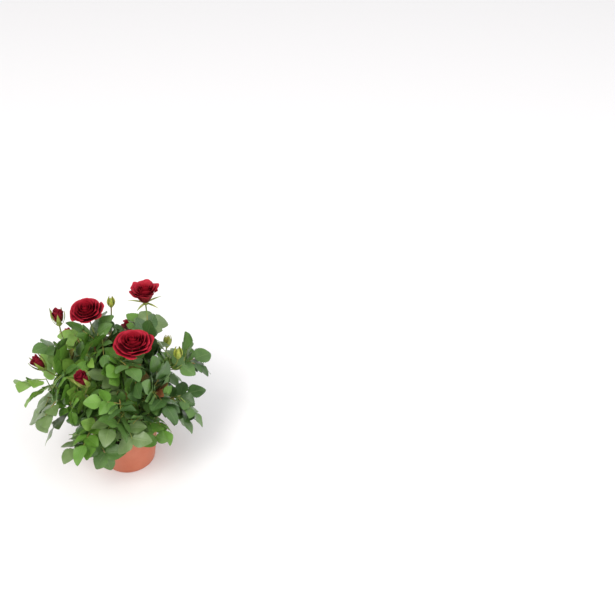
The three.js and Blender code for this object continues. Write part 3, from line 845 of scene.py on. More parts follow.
@dataclass(frozen=True)
class GrowthRule:
    """The sizes by which boughs, stems, twigs, compound leaves and leaflets grow.

    Lengths are in millimetres and angles in radians.
    """

    # The bough is this share of the whole path, and the rest is the stem of its mass.
    bough_share: float = 0.3
    # How far along its way to the tip a topmost and another bough bend, and where a mass has its middle.
    top_bend: float = 0.25
    side_bend: float = 0.4
    mass_middle: float = 0.82
    # How far the bend of a flower's stalk reaches from its ends, and how much of that at a stem's side.
    stalk_reach: float = 0.4
    side_reach: float = 0.3
    bough_radii: tuple[float, float] = (1.8, 1.4)
    stem_radii: tuple[float, float] = (1.4, 1.0)
    twig_length: float = 34
    twig_angle: float = 0.95
    twig_rise: float = 0.2
    leaf_stalk: float = 42
    leaf_angle: float = 1.25
    leaf_sag: float = 0.17
    leaf_roll: float = 0.7
    tries: int = 11
    fewest: int = 4
    blade_length: float = 35
    blade_width: float = 27
    blade_thick: float = 0.9
    blade_sag: float = 0.12
    blade_tilt: float = 0.32
    # A mass's reach from its middle, the room it leaves at its cell's walls and round limbs, the
    # least way between leaflets, the lowest height, and the way from leaf to leaf on a stem.
    reach: float = 78
    wall: float = 0.5
    limb: float = 1.0
    spread: float = 12
    lowest: float = 12
    pitch: float = 9
    seed: int = 112
    # Leaves keep out of a ball round each flower, as a share of its width, and clear of its stalk.
    rose_space: float = 0.56
    bud_space: float = 0.9
    stalk_space: tuple[float, float] = (1.9, 2.2)
    # They also keep this far beyond the pot's rim, above it and outside its wall.
    pot_space: tuple[float, float, float] = (2.5, 2, 3)


# Each pair of leaflets: how far along the stalk it is, how far it turns aside, and its size.
PAIRS = ((0.32, 1.25, 0.78), (0.68, 1.1, 0.9))

# A leaflet's outline between its foot and its tip, as shares of its length and its width.
OUTLINE = ((0.28, 0.48), (0.7, 0.38))

# How far along a leaflet the middle of its ridge is.
BLADE_MIDDLE = 0.42


@dataclass
class Wire:
    """The lines and faces that tell whether leaflets, stalks and twigs cross one another."""

    lines: np.ndarray
    faces: np.ndarray
    centre: np.ndarray
    radius: float
    is_blade: bool = False


def cross_rows(a: np.ndarray, b: np.ndarray) -> np.ndarray:
    """The cross products of two lists of vectors, row by row.

    Args:
        a: the first vectors.
        b: as many second vectors.

    Returns:
        One row for each pair.
    """
    return np.stack([
        a[:, 1] * b[:, 2] - a[:, 2] * b[:, 1],
        a[:, 2] * b[:, 0] - a[:, 0] * b[:, 2],
        a[:, 0] * b[:, 1] - a[:, 1] * b[:, 0],
    ], axis=1)


def pierces(lines: np.ndarray, faces: np.ndarray) -> bool:
    """True if any line passes through any triangle.

    Args:
        lines: the two ends of each line.
        faces: the three corners of each triangle.

    Returns:
        Whether there is such a pair.
    """
    if not len(lines) or not len(faces):
        return False
    a, b, c = faces[:, 0], faces[:, 1], faces[:, 2]
    normals = cross_rows(b - a, c - a)
    level = (a * normals).sum(axis=1)
    before = lines[:, 0] @ normals.T - level
    after = lines[:, 1] @ normals.T - level
    rows, columns = np.nonzero(before * after < 0)
    if not len(rows):
        return False
    share = before[rows, columns] / (before[rows, columns] - after[rows, columns])
    hit = lines[rows, 0] + (lines[rows, 1] - lines[rows, 0]) * share[:, None]
    inside = np.ones(len(rows), dtype=bool)
    for p, q in ((a, b), (b, c), (c, a)):
        p, q = p[columns], q[columns]
        inside &= (cross_rows(q - p, hit - p) * normals[columns]).sum(axis=1) > 0
    return bool(inside.any())


def wire_of(points: np.ndarray) -> Wire:
    """A stalk or twig as lines that leaflets may not cross.

    Args:
        points: the points along it.

    Returns:
        Its wire, which has no faces.
    """
    centre = (points[0] + points[-1]) / 2
    lines = np.stack([points[:-1], points[1:]], axis=1)
    return Wire(lines, np.zeros((0, 3, 3)), centre, float(np.linalg.norm(centre - points[0])) + 1)


@dataclass
class Thicket:
    """What has grown so far, with its centres in one array, so that near things are found at once."""

    wires: list[Wire] = field(default_factory=list)
    spheres: np.ndarray = field(default_factory=lambda: np.zeros((0, 4)))

    def add(self, wires: Sequence[Wire]) -> None:
        """Adds wires.

        Args:
            wires: what has grown.
        """
        self.wires.extend(wires)
        rows = np.array([[*wire.centre, wire.radius] for wire in wires])
        self.spheres = np.concatenate([self.spheres, rows])

    def drop_last(self) -> None:
        """Takes the last wire away again."""
        self.wires.pop()
        self.spheres = self.spheres[:-1]

    def near(self, centre: np.ndarray, radius: float) -> list[Wire]:
        """The wires that come near a point.

        Args:
            centre: the point.
            radius: how near they come.

        Returns:
            The wires, in the order in which they grew.
        """
        if not self.wires:
            return []
        apart = self.spheres[:, :3] - centre
        found = np.nonzero((apart * apart).sum(axis=1) < (self.spheres[:, 3] + radius) ** 2)[0]
        return [self.wires[i] for i in found]


@dataclass
class Blade:
    """One leaflet: its base, its direction, its face, its size and its wire."""

    base: np.ndarray
    along: np.ndarray
    normal: np.ndarray
    length: float
    width: float
    wire: Wire


@dataclass
class CompoundLeaf:
    """A compound leaf: its stalk, which sags as it runs out, and the leaflets on it."""

    root: np.ndarray
    along: np.ndarray
    normal: np.ndarray
    length: float
    sag: float
    stalk: Wire
    blades: dict[str, Blade]
    score: float = 0.0

    def middle(self, share: float) -> np.ndarray:
        """The point at a share of the stalk, which sags more the further out it is."""
        return self.root + self.along * self.length * share - UP * self.sag * self.length * share * share


@dataclass
class Shoot:
    """A bough with the stem of its mass, and what has grown on it."""

    row: ShootRow
    index: int
    path: Bend
    stem_from: float
    stem_length: float
    middle: np.ndarray
    leaves: list[CompoundLeaf] = field(default_factory=list)
    twigs: list[np.ndarray] = field(default_factory=list)
    placed: Thicket = field(default_factory=Thicket)


@dataclass
class Flower:
    """A flower with its own axes and its stalk."""

    row: FlowerRow
    base: np.ndarray
    face: np.ndarray
    stalk: Bend


@dataclass
class Crown:
    """Grows the whole crown by the rule of its solids, and then carries it on to finer twigs."""

    rule: GrowthRule = field(default_factory=GrowthRule)
    pot: PotSizes = field(default_factory=PotSizes)
    peat: PeatSizes = field(default_factory=PeatSizes)
    canes: CaneSizes = field(default_factory=CaneSizes)
    # How many smaller leaves are added to each mass, and how small they are.
    finer_leaves: int = 18
    finer_tries: int = 60
    finer_size: tuple[float, float] = (0.55, 0.95)
    finer_twig: float = 22
    finer_fewest: int = 3
    # The finer leaves keep to a core like an egg, so that the crown's outline stays open.
    core_middle: tuple[float, float, float] = (-8, 10, 160)
    core_reach: tuple[float, float, float] = (96, 112, 90)
    cane_paths: list[Bend] = field(default_factory=list)
    shoots: list[Shoot] = field(default_factory=list)
    flowers: list[Flower] = field(default_factory=list)
    ball_centres: np.ndarray | None = None
    ball_radii: np.ndarray | None = None
    gap_light: np.ndarray | None = None
    near_balls: dict[int, np.ndarray] = field(default_factory=dict)
    other_middles: dict[int, np.ndarray] = field(default_factory=dict)

    def grow(self) -> None:
        """Lays out limbs and flowers, and grows every mass."""
        foot = self.peat.level + self.peat.swell + CLEAR
        self.cane_paths = [self.canes.path(i, foot) for i in range(self.canes.count)]
        self.shoots = [self.plan_shoot(i, row) for i, row in enumerate(SHOOT_ROWS)]
        self.flowers = [self.plan_flower(row) for row in FLOWER_ROWS]
        self.gather_balls()
        whole = Thicket()
        whole.add([wire_of(flower.stalk.points(even(0, 1, 6))) for flower in self.flowers])
        for shoot in self.shoots:
            self.grow_mass(shoot)
            whole.add(shoot.placed.wires[:1] + shoot.placed.wires[1 + len(self.flowers):])
        for shoot in self.shoots:
            own = sum(len(leaf.blades) for leaf in shoot.leaves)
            shoot.placed = whole
            self.grow_finer(shoot)
            total = sum(len(leaf.blades) for leaf in shoot.leaves)
            log.info("mass %s: %d leaflets by the rule, %d in all", shoot.row.name, own, total)

    def plan_shoot(self, index: int, row: ShootRow) -> Shoot:
        """Lays out the path of a bough and of the stem that it carries.

        Args:
            index: which bough it is, counted from 0.
            row: its row in the plan.

        Returns:
            The bough, with nothing grown on it yet.
        """
        cane = self.cane_paths[row.cane]
        tip = np.array(row.tip, dtype=float)
        start = cane.point(row.up)
        if row.up == 1:
            start = start + cane.tangent(1) * CLEAR
            control = start + cane.tangent(1) * float(np.linalg.norm(tip - start)) * self.rule.top_bend
        else:
            control = start + (tip - start) * self.rule.side_bend + UP * row.lift
        path = Bend((start, control, tip))
        share = self.rule.bough_share
        speed = float(np.linalg.norm(path.point(share) - path.point(share + 0.01))) * 100
        middle = path.point(self.rule.mass_middle)
        return Shoot(row, index, path, share + CLEAR / speed, path.length() * (1 - share), middle)

    def plan_flower(self, row: FlowerRow) -> Flower:
        """Lays out a flower's stalk, from the end or the side of its mass's stem to its base.

        Args:
            row: the flower's row in the plan.

        Returns:
            The flower with its stalk.
        """
        path = next(shoot.path for shoot in self.shoots if shoot.row.name == row.on)
        base = np.array(row.base, dtype=float)
        face = unit(np.array(row.face, dtype=float))
        start = path.point(row.at)
        heading = path.tangent(row.at)
        beside = row.at < 1
        aside = squared(base - start, heading) if beside else heading
        start = start + aside * (sum(self.rule.stem_radii) / 2 + CLEAR if beside else CLEAR)
        reach = float(np.linalg.norm(base - start)) * self.rule.stalk_reach
        first = start + aside * (reach * self.rule.side_reach if beside else reach)
        return Flower(row, base, face, Bend((start, first, base - face * reach, base)))

    def gather_balls(self) -> None:
        """Sets balls along every limb and round every flower, which leaves keep clear of."""
        centres: list[np.ndarray] = []
        radii: list[float] = []

        def line(curve: Bend, last: float, sizes: np.ndarray) -> None:
            """Sets balls of these sizes along a curve, up to the last share of it."""
            centres.extend(curve.points(even(0, last, len(sizes) - 1)))
            radii.extend(sizes + self.rule.limb)

        for path in self.cane_paths:
            line(path, 1, even(self.canes.radii[0], self.canes.radii[4], 12))
        for shoot in self.shoots:
            line(shoot.path, self.rule.bough_share, even(*self.rule.bough_radii, 24))
        for flower in self.flowers:
            line(flower.stalk, 1, even(*self.rule.stalk_space, 20))
            rose = flower.row.kind is FlowerKind.ROSE
            radius = flower.row.size * (self.rule.rose_space if rose else self.rule.bud_space)
            centres.append(flower.base + flower.face * radius * 0.7)
            radii.append(radius)
        self.ball_centres = np.array(centres)
        self.ball_radii = np.array(radii)
        for shoot in self.shoots:
            apart = np.linalg.norm(self.ball_centres - shoot.middle, axis=1)
            self.near_balls[shoot.index] = np.nonzero(apart < self.rule.reach + self.ball_radii)[0]
            others = [other.middle for other in self.shoots if other is not shoot]
            self.other_middles[shoot.index] = np.array(others)

    def fits(self, points: np.ndarray, shoot: Shoot) -> bool:
        """Tells whether something fits into a mass.

        Args:
            points: the points that are tested.
            shoot: the bough whose mass it is.

        Returns:
            True if every point lies in the mass's own space and clear of limbs, flowers and pot.
        """
        rule = self.rule
        if (points[:, 2] < rule.lowest).any():
            return False
        own = ((points - shoot.middle) ** 2).sum(axis=1)
        if (own > rule.reach ** 2).any():
            return False
        if self.gap_light is not None:
            # Finer leaves may reach in between those of the next mass, but stay in the core.
            if (((points - self.core_middle) / self.core_reach) ** 2).sum(axis=1).max() > 1:
                return False
        else:
            others = self.other_middles[shoot.index]
            apart = np.linalg.norm(others - shoot.middle, axis=1)
            theirs = ((points[:, None] - others[None]) ** 2).sum(axis=2)
            if ((theirs - own[:, None]) <= 2 * apart * rule.wall).any():
                return False
        out = np.hypot(points[:, 0], points[:, 1])
        wall = self.pot.foot + (self.pot.rim - self.pot.foot) * points[:, 2] / self.pot.height
        beyond, above, outside = rule.pot_space
        clear = (out > self.pot.rim + beyond) | (points[:, 2] > self.pot.height + above)
        if not (clear | (out > wall + outside)).all():
            return False
        balls = self.near_balls[shoot.index]
        gaps = ((points[:, None] - self.ball_centres[None, balls]) ** 2).sum(axis=2)
        return bool((gaps > self.ball_radii[None, balls] ** 2).all())

    def light_at(self, root: np.ndarray) -> np.ndarray:
        """The way to the light: up and away from the middle of the plant, or to a gap nearby.

        Args:
            root: where a leaf leaves its twig.

        Returns:
            The way, of any length.
        """
        out = unit(np.array([root[0], root[1], 0.0]))
        if self.gap_light is not None:
            return out * 0.25 + UP * 0.75 + self.gap_light
        return out * 0.75 + UP * 0.8

    def try_blade(
        self, base: np.ndarray, along: np.ndarray, normal: np.ndarray, size: float, shoot: Shoot,
        own: list[Wire],
    ) -> Blade | None:
        """Draws one leaflet.

        Args:
            base: where it leaves its stalk.
            along: the direction in which it grows.
            normal: the direction that its upper side faces.
            size: its share of the full size.
            shoot: the bough whose mass it belongs to.
            own: the wires of the leaflets that its leaf has already.

        Returns:
            The leaflet, or None if it would leave its space, touch a limb or meet another leaf.
        """
        rule = self.rule
        length, width = rule.blade_length * size, rule.blade_width * size
        side = cross(normal, along)

        def place(u: float, v: float, w: float) -> np.ndarray:
            """The point at a share of the length and of the width, and so far above the blade."""
            sag = rule.blade_sag * length * u * u
            return base + along * (u * length) + side * (v * width) + normal * (w - sag)

        left = [place(u, v, 0) for u, v in OUTLINE]
        right = [place(u, -v, 0) for u, v in OUTLINE]
        tip = place(1, 0, 0)
        above = place(BLADE_MIDDLE, 0, -rule.blade_thick * 0.1)
        below = place(BLADE_MIDDLE, 0, -rule.blade_thick * 1.1)
        rim = np.array([left[0], left[1], tip, right[1], right[0]])
        tested = np.concatenate([rim, (rim[1:] + rim[:-1]) / 2, (rim + above) / 2, [above, below]])
        if not self.fits(tested, shoot):
            return None
        start = base + (above - base) * 0.25
        loop = np.array([start, right[0], right[1], tip, left[1], left[0]])
        lines = np.stack([loop, np.roll(loop, -1, axis=0)], axis=1)
        faces = np.concatenate([lines, np.repeat(above[None, None], 6, axis=0)], axis=1)
        lines = np.concatenate([lines, [[start, above], [above, tip]]])
        wire = Wire(lines, faces, above, length * 0.62, True)
        near = shoot.placed.near(above, wire.radius) + own
        if any(w.is_blade and np.linalg.norm(w.centre - above) < rule.spread * size for w in near):
            return None
        if near:
            if pierces(lines, np.concatenate([w.faces for w in near])):
                return None
            if pierces(np.concatenate([w.lines for w in near]), faces):
                return None
        return Blade(base, along, normal, length, width, wire)

    def try_leaf(
        self, root: np.ndarray, along: np.ndarray, roll: float, length: float, size: float, shoot: Shoot,
    ) -> CompoundLeaf | None:
        """Tries one way for a compound leaf to leave its twig, and keeps the leaflets that fit.

        Args:
            root: where it leaves its twig.
            along: the direction of its stalk.
            roll: how far its upper side is rolled away from the light.
            length: the length of its stalk.
            size: its share of the full size.
            shoot: the bough whose mass it belongs to.

        Returns:
            The leaf, or None if its stalk has no room.
        """
        rule = self.rule
        light = unit(self.light_at(root))
        normal = turned(squared(light, along), along, roll)
        leaf = CompoundLeaf(root, along, normal, length, rule.leaf_sag, None, {})
        foot, waist, end = leaf.middle(0.08), leaf.middle(0.5), leaf.middle(1.0)
        tested = np.concatenate([
            foot + np.outer(even(0, 1, 6), waist - foot),
            waist + np.outer(even(0, 1, 5), end - waist),
        ])
        if not self.fits(tested, shoot):
            return None
        leaf.stalk = wire_of(np.array([foot, waist, end]))
        near = shoot.placed.near(leaf.stalk.centre, leaf.stalk.radius + 2)
        others = [wire.faces for wire in near if wire.is_blade]
        if others and pierces(leaf.stalk.lines, np.concatenate(others)):
            return None

        def add(key: str, share: float, turn: float, part: float) -> None:
            """Adds a leaflet to the leaf, if it fits.

            Args:
                key: its name.
                share: how far along the stalk it is.
                turn: how far it turns aside from the stalk.
                part: its share of the leaf's size.
            """
            forward = unit(along - UP * 2 * rule.leaf_sag * share)
            up = squared(normal, forward)
            way = turned(forward, up, turn)
            up = turned(up, way, -rule.blade_tilt * float(np.sign(turn)))
            own = [blade.wire for blade in leaf.blades.values()]
            made = self.try_blade(leaf.middle(share), way, up, size * part, shoot, own)
            if made:
                leaf.blades[key] = made

        add("end", 1, 0, 1)
        for i, (at, turn, part) in enumerate(PAIRS):
            add(f"left{i}", at, turn, part)
            add(f"right{i}", at, -turn, part)
        leaf.score = len(leaf.blades) - 1.5 * abs(float(along @ light))
        return leaf

    def grow_leaf(
        self, root: np.ndarray, heading: np.ndarray, turn: float, size: float, shoot: Shoot,
        stream: NumberStream, fewest: int,
    ) -> None:
        """Grows one compound leaf, turned by the golden angle to where most of its leaflets fit.

        Args:
            root: where it leaves its stem or twig.
            heading: the direction of that stem or twig.
            turn: the first angle round it that is tried.
            size: its share of the full size.
            shoot: the bough whose mass it belongs to.
            stream: the numbers that vary it.
            fewest: the fewest leaflets that it may have.
        """
        rule = self.rule
        length = rule.leaf_stalk * size * (0.85 + 0.3 * stream())
        roll = (stream() - 0.5) * rule.leaf_roll
        lean = 0.05 + 0.25 * stream()
        first, second = across(heading)
        light = self.light_at(root)
        best: CompoundLeaf | None = None
        for attempt in range(rule.tries):
            angle = turn + attempt * GOLDEN_ANGLE
            around = first * math.cos(angle) + second * math.sin(angle)
            way = heading * math.cos(rule.leaf_angle) + around * math.sin(rule.leaf_angle)
            leaf = self.try_leaf(root, unit(way + light * lean), roll, length, size, shoot)
            if leaf and len(leaf.blades) >= fewest and (best is None or leaf.score > best.score):
                best = leaf
        if best:
            shoot.leaves.append(best)
            shoot.placed.add([best.stalk, *(blade.wire for blade in best.blades.values())])

    def grow_twig(
        self, root: np.ndarray, heading: np.ndarray, turn: float, length: float,
        sizes: tuple[float, float], shoot: Shoot, stream: NumberStream, fewest: int,
    ) -> None:
        """Grows a side twig with up to three leaves, in the first direction that has room for it.

        Args:
            root: where it leaves the stem.
            heading: the direction of the stem.
            turn: an angle round the stem. The first one that is tried is opposite.
            length: its usual length.
            sizes: the smallest and the largest share of the full size that its leaves have.
            shoot: the bough whose mass it belongs to.
            stream: the numbers that vary it.
            fewest: the fewest leaflets that each leaf may have.
        """
        rule = self.rule
        first, second = across(heading)
        length *= 0.8 + 0.5 * stream()
        for attempt in range(rule.tries):
            angle = turn + math.pi + attempt * GOLDEN_ANGLE
            around = first * math.cos(angle) + second * math.sin(angle)
            way = heading * math.cos(rule.twig_angle) + around * math.sin(rule.twig_angle)
            way = unit(way + UP * rule.twig_rise)
            end = root + way * length
            low = root + way * length * 0.1
            if not self.fits(low + np.outer(even(0, 1, 16), end - low), shoot):
                continue
            wire = wire_of(np.array([root + way * length * 0.06, end]))
            near = shoot.placed.near(wire.centre, wire.radius)
            others = [other.faces for other in near if other.is_blade]
            if others and pierces(wire.lines, np.concatenate(others)):
                continue
            before = len(shoot.leaves)
            shoot.placed.add([wire])
            for share in (0.97, 0.62, 0.3):
                size = sizes[0] + (sizes[1] - sizes[0]) * stream()
                foot = root + way * length * share
                self.grow_leaf(foot, way, turn + share * 7, size, shoot, stream, fewest)
            if len(shoot.leaves) > before:
                shoot.twigs.append(np.array([root, end]))
                return
            shoot.placed.drop_last()

    def grow_mass(self, shoot: Shoot) -> None:
        """Grows leaves in turn round the stem from its tip down, and a twig at every other one.

        Args:
            shoot: the bough whose mass grows.
        """
        rule = self.rule
        stream = NumberStream(rule.seed + shoot.index * 101)
        shoot.placed.add([wire_of(shoot.path.points(even(rule.bough_share, 1, 8)))])
        shoot.placed.add([wire_of(flower.stalk.points(even(0, 1, 6))) for flower in self.flowers])
        nodes = math.floor(shoot.stem_length / rule.pitch + 0.5)
        turn = stream() * math.pi * 2
        for node in range(nodes, 0, -1):
            if len(shoot.leaves) >= shoot.row.leaves:
                break
            t = shoot.stem_from + (1 - shoot.stem_from) * (node - 0.35) / nodes
            root, heading = shoot.path.point(t), shoot.path.tangent(t)
            self.grow_leaf(root, heading, turn, 0.8 + 0.3 * stream(), shoot, stream, rule.fewest)
            turn += GOLDEN_ANGLE
            if node % 2 == 0:
                self.grow_twig(
                    root, heading, turn, rule.twig_length, (0.75, 1.05), shoot, stream, rule.fewest,
                )

    def grow_finer(self, shoot: Shoot) -> None:
        """Fills a mass with smaller leaves: on its bough and stem, on its twigs and on finer twigs.

        Args:
            shoot: the bough whose mass is filled.
        """
        stream = NumberStream(self.rule.seed + 7000 + shoot.index)
        goal = len(shoot.leaves) + self.finer_leaves
        low, high = self.finer_size
        for step in range(self.finer_tries):
            if len(shoot.leaves) >= goal:
                break
            turn = stream() * math.pi * 2
            self.gap_light = np.array([math.cos(turn * 5), math.sin(turn * 5), 0.0]) * 0.7
            size = stream.between(low, high)
            if step % 3 == 2 and shoot.twigs:
                root, end = shoot.twigs[step % len(shoot.twigs)]
                heading = unit(end - root)
                root = root + (end - root) * stream.between(0.2, 0.95)
                self.grow_leaf(root, heading, turn, size, shoot, stream, self.finer_fewest)
                continue
            t = 0.05 + 0.85 * ((0.4 + step * 0.618) % 1) ** 1.4
            root, heading = shoot.path.point(t), shoot.path.tangent(t)
            if step % 3 == 0:
                self.grow_twig(
                    root, heading, turn, self.finer_twig, (low, high), shoot, stream, self.finer_fewest,
                )
            else:
                self.grow_leaf(root, heading, turn, size, shoot, stream, self.finer_fewest)
        self.gap_light = None


# The pieces.


@dataclass
class Foliage:
    """Dresses the leaves: serrated, folded and wavy blades on thin arching stalks."""

    crown: Crown
    rows: int = 25
    columns: tuple[float, ...] = (-1.0, -0.66, -0.33, 0.0, 0.33, 0.66, 1.0)
    # Notches are twice these shares deep and forward: of the half width and of the length.
    tooth: float = 0.05
    tooth_lean: float = 0.016
    # How far the halves fold up from the rib and curl at the rim, and how high the rim waves.
    fold: tuple[float, float] = (0.06, 0.3)
    curl: tuple[float, float] = (-0.05, 0.1)
    wave: float = 0.035
    stalk_radii: tuple[float, float] = (0.75, 0.45)
    stalk_steps: int = 7
    stalk_sides: int = 5
    # A leaf with a short stalk high up is young. These shares of the young ones are bronze, and
    # coloured at all. Of the rest, those with a chance above the last number are dusky.
    young_stalk: float = 30
    young_height: float = 150
    bronze_share: float = 0.11
    young_share: float = 0.2
    dusky_from: float = 0.88
    # The value by which other leaves are dealt: on the plant's axis at the young height, the
    # millimetres to the right and up over which it falls by 1, and how far it varies. Its fall to
    # the right is painted shade on that side and painted light on the left.
    tone_middle: float = 0.56
    painted_light_across: float = 270
    tone_up: float = 700
    tone_spread: float = 0.8

    def outline(self) -> tuple[np.ndarray, np.ndarray, np.ndarray]:
        """The blade's pattern.

        Returns:
            For each corner its share of the length, its share of the half width, and its column.
        """
        u = even(0, 1, self.rows - 1)
        # It is widest at a good third of its length, and runs out in a point.
        wide = u ** 0.55 * (1 - u) ** 0.95
        wide /= wide.max()
        teeth = np.where(np.arange(self.rows) % 2 == 1, 1.0, 1.0 - self.tooth * 2)
        us, vs, cs = [], [], []
        for column in self.columns:
            edge = abs(column) == 1
            us.append(u + (self.tooth_lean * (1 - teeth) / self.tooth if edge else 0))
            vs.append(column * wide * (teeth if edge else 1))
            cs.append(np.full(self.rows, column))
        stack = [np.stack(part, axis=1).ravel() for part in (us, vs, cs)]
        return np.clip(stack[0], 0, 1), stack[1], stack[2]

    def tone_of(self, leaf: CompoundLeaf, stream: NumberStream) -> LeafTone:
        """Deals a colour to a whole compound leaf, by where it grows: deeper to the plant's right as painted
        shade, paler to its left as painted light, and deeper towards the top.

        Args:
            leaf: the leaf.
            stream: the numbers that vary the choice.

        Returns:
            Its colour.
        """
        end = leaf.middle(1.0)
        chance = stream()
        vary = (stream() - 0.5) * self.tone_spread
        young = leaf.length < self.young_stalk and end[2] > self.young_height
        if young and chance < self.young_share:
            return LeafTone.BRONZE if chance < self.bronze_share else LeafTone.RED
        if chance > self.dusky_from:
            return LeafTone.DUSKY
        rise = end[2] - self.young_height
        # Paler leaves to the left and deeper ones to the right: painted light and painted shade.
        value = self.tone_middle - end[0] / self.painted_light_across - rise / self.tone_up + vary
        steps = ((0.98, LeafTone.PALE), (0.58, LeafTone.FRESH), (0.24, LeafTone.MIDDLE))
        return next((tone for least, tone in steps if value > least), LeafTone.DEEP)

    def add_blade(
        self, stock: MeshStock, blade: Blade, pattern: tuple, faces: np.ndarray, stream: NumberStream,
    ) -> None:
        """Adds one leaflet to the stock of its colour.

        Args:
            stock: where it goes.
            blade: the leaflet.
            pattern: what outline returns.
            faces: the faces of that pattern.
            stream: the numbers that vary it.
        """
        u, v, column = pattern
        side = cross(blade.normal, blade.along)
        length = blade.length * stream.between(0.94, 1.03)
        half = blade.width * stream.between(0.5, 0.6)
        fold = stream.between(*self.fold) * half
        curl = stream.between(*self.curl) * half
        phase = stream.between(0, 6.28)
        lift = np.abs(v) * fold - v * v * curl * 2
        lift = lift + self.wave * length * np.sin(u * 9 + phase + np.sign(v) * 1.3) * v * v
        lift = lift - self.crown.rule.blade_sag * length * u * u
        # The point droops a little more than the rest.
        lift = lift - 0.3 * np.clip(u - 0.8, 0, 1) * length * 0.4
        corners = (
            blade.base
            + np.outer(u * length, blade.along)
            + np.outer(v * half, side)
            + np.outer(lift, blade.normal)
        )
        stock.add(corners, faces, np.stack([u, 0.5 + 0.5 * column], axis=1))

    def build(self) -> None:
        """Builds all leaflets, each colour apart, and all leaf stalks."""
        stream = NumberStream(501)
        stocks = {tone: MeshStock() for tone in LeafTone}
        stalks = MeshStock()
        pattern = self.outline()
        faces = grid_faces(self.rows, len(self.columns))
        for shoot in self.crown.shoots:
            for leaf in shoot.leaves:
                stock = stocks[self.tone_of(leaf, stream)]
                for blade in leaf.blades.values():
                    self.add_blade(stock, blade, pattern, faces, stream)
                last = 1.0 if "end" in leaf.blades else PAIRS[1][0] + 0.06
                line = np.array([leaf.middle(s * last) for s in even(0, 1, self.stalk_steps)])
                radii = even(*self.stalk_radii, self.stalk_steps)
                add_tube(stalks, line, radii, self.stalk_sides, closed=False)
        nodes = ["leaves_" + shoot.row.name for shoot in self.crown.shoots]
        for tone, stock in stocks.items():
            if stock.count:
                stock.make("leaflets_" + tone.name.lower(), tone.value, nodes, "foliage")
        stalks.make("leaf_stalks", STALK_SKIN, nodes, "foliage")


@dataclass(frozen=True)
class LimbGrain:
    """How a kind of limb is drawn: steps along it, corners round it, and how deep its ridges are."""

    steps: int
    sides: int
    depth: float = 0.0


